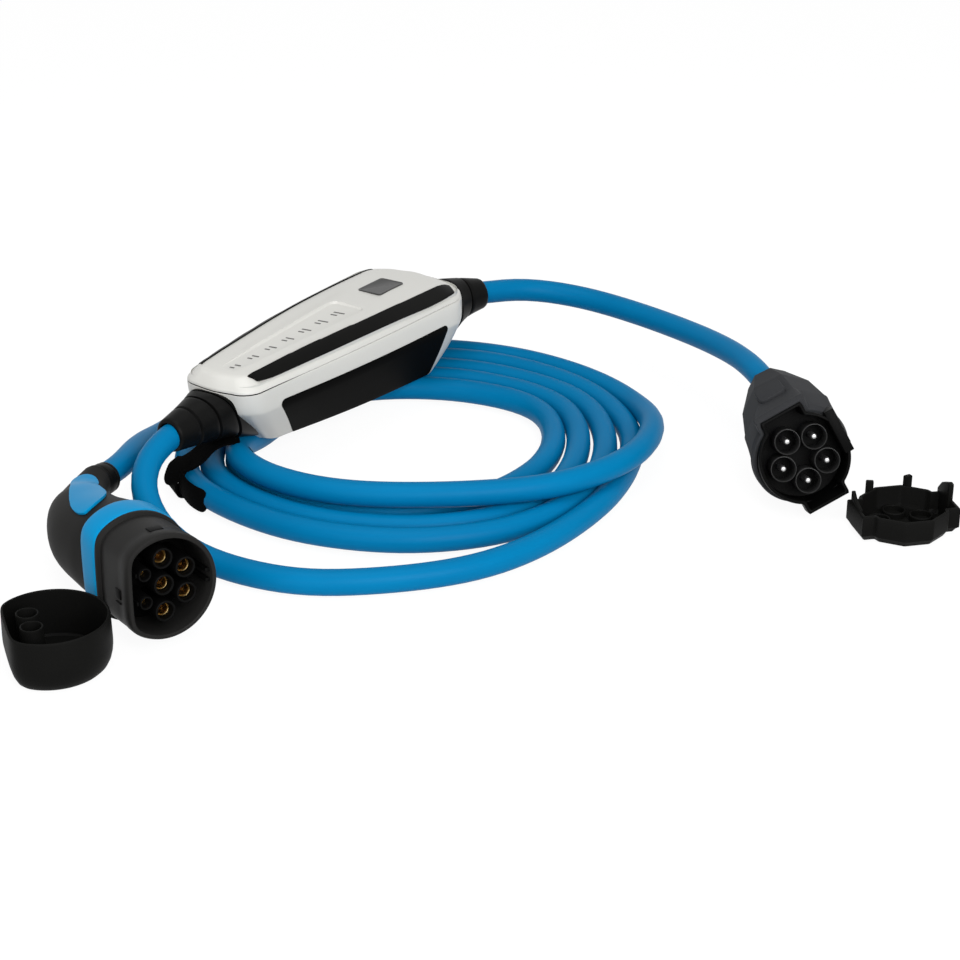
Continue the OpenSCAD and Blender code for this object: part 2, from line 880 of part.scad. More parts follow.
module vehicle_cap() {
    color([0.07, 0.07, 0.07])
        translate([vehicle_cap_x, vehicle_cap_y, 0])
            rotate([0, 0, -39]) {
                difference() {
                    union() {
                        translate([0, 0, 12])
                            linear_extrude(height = vehicle_cap_height - 12) cap_outline(vehicle_cap_wall);
                        hull() {
                            linear_extrude(height = 0.1) cap_outline(-3.6);
                            translate([0, 0, 3]) linear_extrude(height = 0.1) cap_outline(-1);
                            translate([0, 0, 7]) linear_extrude(height = 0.1) cap_outline(1);
                            translate([0, 0, 12]) linear_extrude(height = 0.1) cap_outline(vehicle_cap_wall + 0.6);
                        }
                    }
                    translate([0, 0, 3]) linear_extrude(height = vehicle_cap_height) cap_outline(-3.4);
                    translate([0, 0, 8]) linear_extrude(height = vehicle_cap_height) cap_outline(0);
                }
                for (y = [-8, 8]) {
                    translate([-11.2, y, 2.5])
                        difference() {
                            cylinder(r = 6.5, h = vehicle_cap_height - 2.5);
                            translate([0, 0, 1]) cylinder(r = 5.3, h = vehicle_cap_height);
                        }
                }
            }
}

module plug_frame() {
    translate(plug_place) rotate([0, 72, -145.7]) rotate([0, 0, 118.7]) children();
}

module plug_outline(g) {
    circle(r = plug_radius + g);
    square([lobe_width + 2 * g, 2 * lobe_reach + 2 * g], center = true);
}

// Outline without the lower lobe
module barrel_outline(g) {
    circle(r = plug_radius + g);
    translate([-lobe_width / 2 - g, 0]) square([lobe_width + 2 * g, lobe_reach + g]);
}

module plug_shroud() {
    color([0.04, 0.04, 0.04])
        plug_frame() {
            difference() {
                union() {
                    translate([0, 0, -shroud_depth]) linear_extrude(height = shroud_depth) barrel_outline(0);
                    translate([0, 0, -lobe_depth]) linear_extrude(height = lobe_depth) plug_outline(0);
                }
                translate([0, 0, -shroud_depth - 1])
                    cylinder(r = plug_radius - 2.6 + close_fit, h = shroud_depth + 5);
                translate([-9, plug_radius - 1, -10]) cube([18, 3, 12]);
                translate([-9, -plug_radius - 2, -10]) cube([18, 3, 12]);
            }
        }
}

module pin_places() {
    for (k = [0 : 4]) {
        rotate([0, 0, 180 + 72 * k]) translate([pin_circle, 0, 0]) children();
    }
}

module plug_insert() {
    color([0.04, 0.04, 0.04])
        plug_frame() {
            difference() {
                translate([0, 0, -shroud_depth]) cylinder(r = plug_radius - 2.6, h = insert_front + shroud_depth);
                pin_places() translate([0, 0, -shroud_depth - 1]) cylinder(r = pin_radius + close_fit, h = 30);
            }
        }
}

module pin_wells() {
    color([0.04, 0.04, 0.04])
        plug_frame() {
            pin_places()
                translate([0, 0, insert_front])
                    difference() {
                        cylinder(r = well_radius, h = -insert_front - 3);
                        translate([0, 0, -1]) cylinder(r = well_radius - 0.7, h = shroud_depth);
                    }
        }
}

module supply_pins() {
    color([0.75, 0.75, 0.76])
        plug_frame() {
            pin_places() {
                translate([0, 0, -shroud_depth - 2]) cylinder(r = pin_radius, h = shroud_depth - 3);
                translate([0, 0, -5]) cylinder(r1 = pin_radius, r2 = pin_radius - 1, h = 1);
            }
        }
}

module housing_form(g) {
    stations = [[[5, 12, -39], 30, 31.4], [[7.4, 25, -58.6], 24.5, 25.6], [plug_tail, 13.4, 13.4]];
    hull() {
        translate([0, 0.5, -10.5]) rotate([mouth_angle, 0, 0]) linear_extrude(height = 0.2) barrel_outline(2.4 + g);
        translate(stations[0][0]) rotate([plug_angle, -4, 22.5])
            cylinder(r = stations[0][2] + g, h = 0.2, $fn = 8);
    }
    for (i = [0, 1]) {
        hull() {
            translate(stations[i][0]) rotate([plug_angle, -4, 22.5])
                cylinder(r = stations[i][2] + g, h = 0.2, $fn = 8);
            translate(stations[i + 1][0]) rotate([plug_angle + 4 * i, -4, 22.5])
                cylinder(r = stations[i + 1][2] + g, h = 0.2, $fn = 8);
        }
    }
}

module plug_housing() {
    color([0.3, 0.3, 0.31])
        plug_frame() {
            difference() {
                union() {
                    housing_form(0);
                    translate([6.2, 41.1, -36.8]) rotate([-68, 0, 0]) translate([-9, -8.5, -3]) cube([18, 17, 6]);
                }
                intersection() {
                    housing_form(-housing_wall);
                    translate([-60, -60, plug_tail[2] + 11]) cube([120, 140, 90]);
                }
                translate([0, 0, -shroud_depth])
                    linear_extrude(height = 60) barrel_outline(close_fit);
                bar(plug_tail - 30 * plug_tail_way, plug_tail + 20 * plug_tail_way, cable_bore);
            }
        }
}

module supply_cap() {
    color([0.06, 0.06, 0.06])
        translate([supply_cap_x, supply_cap_y, 0])
            rotate([0, 0, -135.7]) {
                difference() {
                    union() {
                        translate([0, 0, 4]) linear_extrude(height = supply_cap_height - 4) plug_outline(-0.8);
                        linear_extrude(height = 4.1) plug_outline(-2.6);
                    }
                    translate([0, 0, 2.4])
                        linear_extrude(height = supply_cap_height) plug_outline(-2.6 - supply_cap_wall);
                    translate([0, 0, 5.5])
                        linear_extrude(height = supply_cap_height) plug_outline(-0.8 - supply_cap_wall);
                }
                pin_places()
                    difference() {
                        translate([0, 0, 2]) cylinder(r = well_radius - 0.9, h = 7);
                        translate([0, 0, 1]) cylinder(r = well_radius - 2.4, h = 10);
                    }
                tab_h = 8.5;
                translate([-10, -lobe_reach + 0.8, supply_cap_height - 6]) cube([16, 2.4, tab_h + 4]);
                translate([-11, lobe_reach - 3.2, supply_cap_height - 6]) cube([17, 2.4, tab_h + 5]);
                translate([-plug_radius + 0.8, 4, supply_cap_height - 6]) cube([2.4, 5, tab_h + 3]);
                translate([-plug_radius + 4.6, -18, supply_cap_height - 6]) cube([2.4, 5, tab_h + 2]);
            }
}

module supply_cable() {
    color([0, 0.4, 0.65]) tube(supply_route, cable_r, 10);
}

module vehicle_cable_lead() {
    color([0, 0.4, 0.65]) tube(lead_route, cable_r, 10);
}

module vehicle_cable_coil() {
    c = 4;
    z0 = strap_thickness + close_fit;
    z1 = z0 + cable_diameter;
    color([0, 0.4, 0.65])
        translate([coil_x, coil_y, 0])
            rotate_extrude($fn = 96)
                polygon([[coil_inner + c, z0], [coil_outer - c, z0], [coil_outer, z0 + c], [coil_outer, z1 - c],
                    [coil_outer - c, z1], [coil_inner + c, z1], [coil_inner, z1 - c], [coil_inner, z0 + c]]);
}

module vehicle_cable_tail() {
    color([0, 0.4, 0.65]) tube(tail_route, cable_r, 10);
}

module strap() {
    t = strap_thickness;
    h = 2 * cable_diameter + 4;
    color([0.03, 0.03, 0.03])
        translate([coil_x, coil_y, 0])
            rotate([0, 0, 164])
                translate([0, -strap_width / 2, 0])
                    difference() {
                        translate([coil_inner - 1 - t, 0, 0])
                            cube([coil_outer - coil_inner + 2 + 2 * t, strap_width, h + t]);
                        translate([coil_inner - 1, -1, t])
                            cube([coil_outer - coil_inner + 2, strap_width + 2, h - t]);
                    }
}

top_cover();
bottom_cover();
housing_seal();
near_grip();
far_grip();
near_trim();
far_trim();
indicator_window();
emblem_plate();
circuit_board();
relays();
residual_current_core();
power_supply_module();
control_module();
terminal_blocks();
led_board();
indicator_leds();
cover_screws();
vehicle_side_boot();
supply_side_boot();
vehicle_side_clamp();
supply_side_clamp();
nose_shroud();
contact_carrier();
contact_sleeves();
power_contacts();
signal_contacts();
collar();
connector_handle();
handle_pad();
gland_nut();
vehicle_cap();
plug_shroud();
plug_insert();
pin_wells();
supply_pins();
plug_housing();
supply_cap();
supply_cable();
vehicle_cable_lead();
vehicle_cable_coil();
vehicle_cable_tail();
strap();
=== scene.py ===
import json
import math

import bmesh
import bpy
from mathutils import Matrix, Vector


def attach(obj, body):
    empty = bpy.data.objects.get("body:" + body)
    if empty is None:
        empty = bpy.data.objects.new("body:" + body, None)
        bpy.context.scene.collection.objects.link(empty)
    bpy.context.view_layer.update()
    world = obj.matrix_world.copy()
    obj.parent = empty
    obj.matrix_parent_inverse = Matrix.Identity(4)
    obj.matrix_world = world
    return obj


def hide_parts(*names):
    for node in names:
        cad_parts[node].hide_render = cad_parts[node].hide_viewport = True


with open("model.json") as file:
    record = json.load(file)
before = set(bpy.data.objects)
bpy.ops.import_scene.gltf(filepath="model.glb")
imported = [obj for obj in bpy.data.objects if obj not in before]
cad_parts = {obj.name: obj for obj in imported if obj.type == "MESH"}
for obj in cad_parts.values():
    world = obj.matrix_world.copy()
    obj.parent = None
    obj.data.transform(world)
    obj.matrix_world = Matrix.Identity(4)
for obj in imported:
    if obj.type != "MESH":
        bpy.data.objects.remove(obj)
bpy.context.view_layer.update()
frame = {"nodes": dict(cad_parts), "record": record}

MM = 0.001
CABLE_D = 16 * MM
scene = bpy.context.scene


def spin(degrees, axis):
    return Matrix.Rotation(math.radians(degrees), 4, axis)


def stand_at(*place):
    """A shift by a place in millimetres."""
    return Matrix.Translation(Vector(place) * MM)


# Shader maths


class Val:
    """A shader socket used in plain arithmetic."""

    def __init__(self, tree, socket):
        self.tree = tree
        self.socket = socket

    def math(self, operation, *others, swap=False):
        maths = self.tree.nodes.new("ShaderNodeMath")
        maths.operation = operation
        terms = [self, *others]
        if swap:
            terms.reverse()
        for place, term in zip(maths.inputs, terms):
            if isinstance(term, Val):
                self.tree.links.new(term.socket, place)
            else:
                place.default_value = term
        return Val(self.tree, maths.outputs[0])

    def __add__(self, other):
        return self.math("ADD", other)

    def __radd__(self, other):
        return self.math("ADD", other)

    def __sub__(self, other):
        return self.math("SUBTRACT", other)

    def __rsub__(self, other):
        return self.math("SUBTRACT", other, swap=True)

    def __mul__(self, other):
        return self.math("MULTIPLY", other)

    def __rmul__(self, other):
        return self.math("MULTIPLY", other)

    def __truediv__(self, other):
        return self.math("DIVIDE", other)

    def __rtruediv__(self, other):
        return self.math("DIVIDE", other, swap=True)


class Finish:
    """A material with one principled shader, built node by node."""

    def __init__(self, name, **constants):
        self.material = bpy.data.materials.new(name)
        self.material.use_nodes = True
        self.tree = self.material.node_tree
        self.shader = self.tree.nodes["Principled BSDF"]
        for socket, value in constants.items():
            self.shader.inputs[socket.replace("_", " ")].default_value = value
        coords = self.tree.nodes.new("ShaderNodeTexCoord")
        self.place = Val(self.tree, coords.outputs["Object"])
        self.uv = Val(self.tree, coords.outputs["UV"])

    def node(self, kind, settings=None, out=0, **sockets):
        made = self.tree.nodes.new("ShaderNode" + kind)
        for key, value in (settings or {}).items():
            setattr(made, key, value)
        for key, value in sockets.items():
            socket = made.inputs[int(key[1:])] if key[1:].isdigit() else made.inputs[key.replace("_", " ")]
            if isinstance(value, Val):
                self.tree.links.new(value.socket, socket)
            else:
                socket.default_value = value
        return Val(self.tree, made.outputs[out])

    def noise(self, scale, detail=2.0, vector=None):
        return self.node("TexNoise", Vector=vector or self.place, Scale=scale, Detail=detail)

    def blend(self, factor, first, second):
        return self.node("Mix", {"data_type": "RGBA"}, out=2, Factor=factor, s6=(*first, 1), s7=(*second, 1))

    def feed(self, **sockets):
        for key, value in sockets.items():
            self.tree.links.new(value.socket, self.shader.inputs[key.replace("_", " ")])
        return self

    def bump(self, height, strength, distance):
        return self.feed(Normal=self.node("Bump", Height=height, Strength=strength, Distance=distance))


def grained(name, dark, light, rough, grain, depth, drift=35, spread=0.08, shine=0.5, **constants):
    """Moulded plastic, rubber or metal: grain of a depth in millimetres, drifting tone and sheen."""
    finish = Finish(name, Specular_IOR_Level=shine, **constants)
    broad = finish.noise(drift, 3)
    fine = finish.noise(grain, 2)
    finish.feed(
        Base_Color=finish.blend(broad * 0.7 + fine * 0.3, dark, light),
        Roughness=rough - spread / 2 + broad * spread + fine * 0.03,
    )
    return finish.bump(fine, 0.5, depth * MM)


def cable_jacket(name):
    """Satin cable jacket: lengthwise draw marks, faint rubbed patches and tone drift."""
    finish = Finish(name, Specular_IOR_Level=0.04)
    along = finish.node("Mapping", Vector=finish.uv, Scale=(6, 90, 1))
    streak = finish.noise(1.0, 3, vector=along)
    broad = finish.noise(14, 3)
    fine = finish.noise(900, 2)
    finish.feed(
        Base_Color=finish.blend(broad * 0.6 + streak * 0.4, (0.0, 0.118, 0.278), (0.0, 0.175, 0.378)),
        Roughness=0.33 + broad * 0.1 + streak * 0.06,
    )
    return finish.bump(fine * 0.35 + streak * 0.65, 0.35, 0.12 * MM)


def grey(tone):
    return (tone, tone, tone)


# Dark tone, light tone, roughness, fineness and depth of the grain, further settings
LOOKS = {
    "cover_white": ((0.54, 0.536, 0.506), (0.605, 0.6, 0.57), 0.3, 1400, 0.03,
                    dict(drift=12, spread=0.06, shine=0.3)),
    "soft_black": (grey(0.0022), (0.0045, 0.0045, 0.0042), 0.4, 1600, 0.06, dict(shine=0.06)),
    "trim_black": (grey(0.003), (0.0055, 0.0055, 0.005), 0.34, 1800, 0.03, dict(shine=0.04)),
    "guide_dark": ((0.07, 0.07, 0.068), (0.11, 0.11, 0.105), 0.3, 1500, 0.02, dict(shine=0.2)),
    "plate_dark": (grey(0.035), (0.052, 0.052, 0.051), 0.38, 1500, 0.03, dict(shine=0.2)),
    "board_green": ((0.02, 0.12, 0.05), (0.03, 0.16, 0.07), 0.4, 900, 0.03, {}),
    "part_black": (grey(0.015), grey(0.025), 0.5, 1200, 0.04, {}),
    "can_grey": ((0.5, 0.5, 0.51), grey(0.6), 0.3, 800, 0.02, dict(Metallic=1.0)),
    "light_pale": ((0.7, 0.7, 0.62), (0.8, 0.8, 0.72), 0.25, 900, 0.02, {}),
    "screw_steel": ((0.45, 0.45, 0.46), (0.56, 0.56, 0.57), 0.32, 900, 0.03, dict(Metallic=1.0)),
    "clamp_grey": (grey(0.09), grey(0.13), 0.5, 1100, 0.05, {}),
    "nose_black": ((0.010, 0.010, 0.0096), (0.017, 0.0165, 0.016), 0.44, 1500, 0.05, dict(shine=0.05)),
    "contact_brass": ((0.3, 0.2, 0.075), (0.48, 0.34, 0.15), 0.26, 700, 0.02, dict(Metallic=1.0)),
    "collar_blue": ((0.0, 0.2, 0.43), (0.0, 0.25, 0.52), 0.38, 1500, 0.03, dict(shine=0.07)),
    "handle_black": ((0.009, 0.009, 0.0086), (0.016, 0.0155, 0.015), 0.5, 1400, 0.07, dict(shine=0.035)),
    "plug_black": (grey(0.0014), grey(0.003), 0.4, 1500, 0.03, dict(shine=0.03)),
    "pin_silver": (grey(0.3), grey(0.42), 0.4, 700, 0.02, dict(Metallic=1.0)),
    "plug_grey": ((0.027, 0.028, 0.030), (0.039, 0.040, 0.043), 0.5, 1500, 0.06, dict(shine=0.015)),
    "strap_black": (grey(0.001), grey(0.0025), 0.8, 1500, 0.3, dict(shine=0.02)),
    # Very dark black of the contact carrier and sleeves inside the nose; also the painted shade on the blocks
    # that stand for the nose's holes
    "hollow_black": (grey(0.001), grey(0.0025), 0.5, 1500, 0.04, dict(shine=0.05)),
    "cap_black": ((0.0028, 0.0028, 0.0026), (0.0058, 0.0058, 0.0054), 0.48, 1500, 0.06, dict(shine=0.035)),
    "grip_black": (grey(0.002), (0.004, 0.004, 0.0037), 0.5, 1600, 0.06, dict(shine=0.012)),
    "well_grey": (grey(0.012), grey(0.02), 0.4, 1500, 0.03, dict(shine=0.2)),
    "core_blue": ((0.03, 0.05, 0.11), (0.05, 0.07, 0.14), 0.45, 900, 0.04, {}),
}
FINISH = {"cable_blue": cable_jacket("cable_jacket_blue")}
for name, (*look, more) in LOOKS.items():
    FINISH[name] = grained(name, *look, **more)

# Every carried node takes the finish of its slot
for entry in frame["record"]["subparts"]:
    node_mesh = frame["nodes"][entry["node"]].data
    node_mesh.materials.clear()
    node_mesh.materials.append(FINISH[entry["material_slot"]].material)


# Camera, floor and light

CAMERA_PLACE = Vector((-1026.5, -651.2, 617.0)) * MM
CAMERA_AIM = Vector((92.0, 55.7, 0.0)) * MM
WHITE = (1, 1, 1, 1)
WORLD_LIGHT = 0.42
FLOOR_DROP = 0.6 * MM
FLOOR_TONE = 0.7
FLOOR_GLOW = 1.08
FLOOR_GLOW_SHARE = 0.86
camera_data = bpy.data.cameras.new("camera")
camera = bpy.data.objects.new("camera", camera_data)
scene.collection.objects.link(camera)
camera.location = CAMERA_PLACE
camera.rotation_euler = (CAMERA_AIM - CAMERA_PLACE).to_track_quat("-Z", "Y").to_euler()
camera_data.lens = 85
camera_data.sensor_width = 36
camera_data.clip_end = 20
scene.camera = camera
scene.view_settings.view_transform = "Standard"


def seen_plainly(tree):
    """One for rays from the camera, gloss or clear pieces, nought for the light on the object."""
    rays = tree.nodes.new("ShaderNodeLightPath")
    camera_ray, glossy, through = (
        Val(tree, rays.outputs[n]) for n in ("Is Camera Ray", "Is Glossy Ray", "Is Transmission Ray"))
    return camera_ray.math("MAXIMUM", glossy).math("MAXIMUM", through).socket


def mixed(tree, factor, first, second):
    """A shader that goes from the first to the second by a factor."""
    mix = tree.nodes.new("ShaderNodeMixShader")
    for place, source in zip(mix.inputs, (factor, first, second)):
        if isinstance(source, float):
            place.default_value = source
        else:
            tree.links.new(source, place)
    return mix.outputs[0]


world = bpy.data.worlds.new("studio")
scene.world = world
world.use_nodes = True
world_tree = world.node_tree
studio = world_tree.nodes["Background"]
bright = world_tree.nodes.new("ShaderNodeBackground")
for backdrop, strength in ((studio, WORLD_LIGHT), (bright, 1.0)):
    backdrop.inputs["Color"].default_value = WHITE
    backdrop.inputs["Strength"].default_value = strength
world_tree.links.new(
    mixed(world_tree, seen_plainly(world_tree), studio.outputs[0], bright.outputs[0]),
    world_tree.nodes["World Output"].inputs["Surface"],
)

bpy.ops.object.select_all(action="DESELECT")
bpy.ops.mesh.primitive_plane_add(size=8, location=(0, 0, -FLOOR_DROP))
floor = bpy.context.object
floor.name = "floor"
bpy.ops.object.transform_apply(location=True, rotation=True, scale=True)
floor_finish = Finish("floor_white", Base_Color=(*grey(FLOOR_TONE), 1), Roughness=0.9)
floor_tree = floor_finish.tree
floor_plain = floor_finish.shader.outputs[0]
glow = floor_tree.nodes.new("ShaderNodeEmission")
glow.inputs["Strength"].default_value = FLOOR_GLOW
floor_lit = mixed(floor_tree, FLOOR_GLOW_SHARE, floor_plain, glow.outputs[0])
floor_tree.links.new(
    mixed(floor_tree, seen_plainly(floor_tree), floor_plain, floor_lit),
    floor_tree.nodes["Material Output"].inputs["Surface"],
)
floor.data.materials.append(floor_finish.material)


def lamp(name, place, aim, size, power):
    data = bpy.data.lights.new(name, "AREA")
    data.size = size
    data.energy = power
    light = bpy.data.objects.new(name, data)
    scene.collection.objects.link(light)
    light.location = place
    light.rotation_euler = (Vector(aim) - Vector(place)).to_track_quat("-Z", "Y").to_euler()


lamp("key_above", (-0.2, 0.1, 1.7), (0.05, 0.05, 0), 1.2, 11)
lamp("side_soft", (-0.9, -1.2, 0.9), (0.05, 0.05, 0), 1.0, 26)
lamp("low_fill", (-1.3, -0.1, 0.42), (0.05, 0.15, 0.04), 0.8, 4)


# Cords


def eased(a, b, c, d, t):
    """A smooth step from b to c, led by the neighbours a and d."""
    return 0.5 * (2 * b + (c - a) * t + (2 * a - 5 * b + 4 * c - d) * t**2 + (3 * b - a - 3 * c + d) * t**3)


def smooth_route(points, step=7 * MM, rounds=30):
    """Even points on a smooth line through a given route; its two ends keep their first steps."""
    points = [Vector(p) * MM for p in points]
    dense = []
    for i in range(len(points) - 1):
        a, b = points[max(i - 1, 0)], points[i]
        c, d = points[i + 1], points[min(i + 2, len(points) - 1)]
        count = max(2, int((c - b).length / (2 * MM)))
        dense += [eased(a, b, c, d, k / count) for k in range(count)]
    dense.append(points[-1])
    for _ in range(rounds):
        moved = list(dense)
        for i in range(3, len(dense) - 3):
            moved[i] = dense[i] * 0.5 + (dense[i - 2] + dense[i + 2]) * 0.25
        dense = moved
    even = [dense[0]]
    run = 0.0
    for a, b in zip(dense, dense[1:]):
        run += (b - a).length
        if run >= step:
            even.append(b)
            run = 0.0
    even[-1] = dense[-1]
    return even


def route_length(points):
    return sum((b - a).length for a, b in zip(points, points[1:]))


def cable(name, points):
    curve = bpy.data.curves.new(name, "CURVE")
    curve.dimensions = "3D"
    curve.bevel_depth = CABLE_D / 2
    curve.bevel_resolution = 6
    curve.use_fill_caps = True
    curve.twist_mode = "MINIMUM"
    spline = curve.splines.new("POLY")
    spline.points.add(len(points) - 1)
    for place, point in zip(spline.points, points):
        place.co = (*point, 1)
    spline.use_smooth = True
    piece = bpy.data.objects.new(name, curve)
    scene.collection.objects.link(piece)
    curve.materials.append(FINISH["cable_blue"].material)
    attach(piece, "root")
    return piece


# Coil: radius of each level pass at these angles about the coil's middle
COIL_MIDDLE = Vector((98, 128, 0))
COIL_Z = 9.6
COIL_ANGLES = (0, 15, 40, 65, 90, 110, 128, 146, 164, 190, 216, 238, 255, 272, 290, 308, 325, 340)
COIL_PASSES = (
    (150, 147, 143, 140, 134, 131, 133, 141, 142, 145, 151, 155, 153, 147, 142, 141, 142, 138),
    (131, 128, 125, 122.5, 117.5, 114.5, 116.5, 124.5, 126, 129, 134, 138, 136, 129, 124, 124, 126, 122),
    (114, 110, 107, 105, 101, 98, 100, 108, 110, 112, 113, 111, 108, 107, 107, 108, 110, 106),
)
# Angle, radius and height where the coil begins and where its last pass climbs onto the others
COIL_START = (340, 154, COIL_Z)
COIL_CLIMB = (
    (0, 96, COIL_Z), (15, 91, COIL_Z), (40, 88, COIL_Z), (65, 87, COIL_Z), (90, 84, COIL_Z),
    (110, 82.5, COIL_Z), (121, 86, 10.4), (131, 94, 14), (139, 101.5, 18.4), (147, 109, 22.4),
    (156, 114.5, 25), (166, 117.5, 25.6),
)


def coil_points():
    rows = [COIL_START]
    for radii in COIL_PASSES:
        rows += [(angle, radius, COIL_Z) for angle, radius in zip(COIL_ANGLES, radii)]
    rows += COIL_CLIMB
    return [COIL_MIDDLE + spin(angle, "Z") @ Vector((radius, 0, z)) for angle, radius, z in rows]


LEAD_ROUTE = (
    (-36, 197.2, 48), (-48, 198, 48), (-69, 195, 43.6), (-88, 184.5, 35.6), (-101, 167, 25),
    (-106.5, 143, 14), (-105, 115, 8.2), (-103, 83, 8.2), (-97, 58, 8.2), (-82, 35, 8.2), (-62, 12, 8.2),
    (-40, -8, 8.2),
    (-12, -24, 8.2), (27, -34, 8.2), (60, -36, 8.2), (94, -35, 8.2), (141, -25, 8.2), (170, -13, 8.2),
    (195, 2, 8.2), (227, 38, 8.2),
)
TOP_ROUTE = (
    (-20, 138, 25.6), (-20.5, 114, 25.6), (-14, 84, 25.8), (4, 50.5, 25.8),
    (30, 15, 25.8), (61, -16, 25.8), (102, -33, 25.8), (136, -36, 25.6), (170, -27, 23.5), (201, -10, 18),
    (226, 12, 12), (245, 36, 9), (257, 62, 8.6), (264, 93, 8.6), (266, 123, 8.6), (263, 150, 8.6),
    (252, 185, 8.6), (232, 218, 8.6), (203, 248, 8.6), (165, 270, 8.6), (126, 279, 8.6), (91, 278, 8.6),
    (62, 271.5, 8.6), (37, 262, 9.6), (13, 254.5, 14), (-8, 247.5, 19.4), (-27, 239, 24.6),
    (-44, 229.5, 28.8), (-60, 220.5, 31.3), (-74, 215.4, 32.5), (-84.7, 214, 33.2), (-100.2, 212.3, 34.3),
)
vehicle_line = smooth_route([*LEAD_ROUTE, *coil_points(), *TOP_ROUTE])
vehicle_cable = cable("vehicle_cable", vehicle_line)
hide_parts("vehicle_cable_lead", "vehicle_cable_coil", "vehicle_cable_tail")

SUPPLY_ROUTE = (
    (262, 166.8, 52), (271, 163, 52), (295.5, 150, 49.4), (308, 133, 46.6), (314, 114, 45), (315, 94, 44),
    (312, 72, 43.6), (306, 48, 44), (297, 23, 45), (285, -2, 47), (271, -25, 49.4), (256, -46.5, 51.4),
    (241, -63, 52.8), (229, -76, 52.8), (221.44, -83.98, 51.36), (213.64, -92.06, 48.07),
)
supply_line = smooth_route(SUPPLY_ROUTE)
supply_cable = cable("supply_line", supply_line)
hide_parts("supply_cable")


# Modelling helpers


def fresh():
    """Object mode with nothing selected."""
    if bpy.context.object and bpy.context.object.mode != "OBJECT":
        bpy.ops.object.mode_set(mode="OBJECT")
    bpy.ops.object.select_all(action="DESELECT")


def pick(piece, kind, test):
    """Selects the faces or edges in edit mode that pass a test."""
    bpy.ops.mesh.select_mode(type={"faces": "FACE", "edges": "EDGE"}[kind])
    bpy.ops.mesh.select_all(action="DESELECT")
    mesh = bmesh.from_edit_mesh(piece.data)
    for part in getattr(mesh, kind):
        if test(part):
            part.select_set(True)
    bmesh.update_edit_mesh(piece.data)


def only(piece):
    fresh()
    piece.select_set(True)
    bpy.context.view_layer.objects.active = piece
    return piece


def edit(piece):
    only(piece)
    bpy.ops.object.mode_set(mode="EDIT")
    return piece


def modify(piece, kind, **settings):
    """Adds a modifier and applies it."""
    only(piece)
    made = piece.modifiers.new(kind.lower(), kind)
    for key, value in settings.items():
        setattr(made, key, value)
    bpy.ops.object.modifier_apply(modifier=made.name)
    return piece


def cut(piece, tool):
    """Cuts another shape out of a piece and clears it away."""
    modify(piece, "BOOLEAN", operation="DIFFERENCE", solver="EXACT", object=tool)
    bpy.data.objects.remove(tool)


def place_at(piece, matrix):
    only(piece)
    piece.matrix_world = matrix @ piece.matrix_world
    bpy.ops.object.transform_apply(location=True, rotation=True, scale=True)
    return piece


def join(name, pieces):
    fresh()
    for piece in pieces:
        piece.select_set(True)
    bpy.context.view_layer.objects.active = pieces[0]
    bpy.ops.object.join()
    pieces[0].name = name
    return pieces[0]


def settle(piece, slot, *nodes, angle=32, place=None):
    """Last steps of every piece: its place, smoothing, finish, body and the nodes that it stands for."""
    only(piece)
    bpy.ops.object.transform_apply(location=True, rotation=True, scale=True)
    if place is not None:
        place_at(piece, place)
    only(piece)
    bpy.ops.object.shade_smooth_by_angle(angle=math.radians(angle))
    piece.data.materials.clear()
    piece.data.materials.append(FINISH[slot].material)
    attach(piece, "root")
    if nodes:
        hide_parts(*nodes)
    return piece


def loft(name, rings, caps=(True, True)):
    """Rings of points bridged one after the other, with faces over the ends."""
    fresh()
    count = len(rings[0])
    bpy.ops.mesh.primitive_circle_add(vertices=count, radius=1)
    piece = bpy.context.object
    piece.name = name
    bpy.ops.object.mode_set(mode="EDIT")
    for _ in rings[1:]:
        bpy.ops.mesh.primitive_circle_add(vertices=count, radius=1)
    mesh = bmesh.from_edit_mesh(piece.data)
    mesh.verts.ensure_lookup_table()
    middles = []
    for i, ring in enumerate(rings):
        middle = sum((Vector(p) for p in ring), Vector()) / count
        aside = Vector()
        if middles and (middle - middles[-1]).length < 0.03 * MM:
            # Two rings on one level would be bridged crosswise, so this one steps aside a little
            along, across = Vector(ring[0]) - middle, Vector(ring[count // 4]) - middle
            aside = along.cross(across).normalized() * 0.05 * MM
        middles.append(middle + aside)
        for j, point in enumerate(ring):
            mesh.verts[i * count + j].co = Vector(point) + aside
    bmesh.update_edit_mesh(piece.data)

    def on_ring(edge, *numbers):
        first, second = (v.index // count for v in edge.verts)
        return first == second and first in numbers

    for i in range(len(rings) - 1):
        pick(piece, "edges", lambda edge: on_ring(edge, i, i + 1))
        bpy.ops.mesh.bridge_edge_loops()
    for wanted, number in zip(caps, (0, len(rings) - 1)):
        if wanted:
            pick(piece, "edges", lambda edge: on_ring(edge, number))
            bpy.ops.mesh.edge_face_add()
    bpy.ops.mesh.select_all(action="SELECT")
    bpy.ops.mesh.normals_make_consistent(inside=False)
    bpy.ops.object.mode_set(mode="OBJECT")
    return piece


def spline_keys(keys, steps):
    """Rows of numbers eased smoothly from key to key."""
    rows = []
    for i in range(len(keys) - 1):
        near = [keys[max(i - 1, 0)], keys[i], keys[i + 1], keys[min(i + 2, len(keys) - 1)]]
        for k in range(steps):
            rows.append([eased(*column, k / steps) for column in zip(*near)])
    rows.append(list(keys[-1]))
    return rows


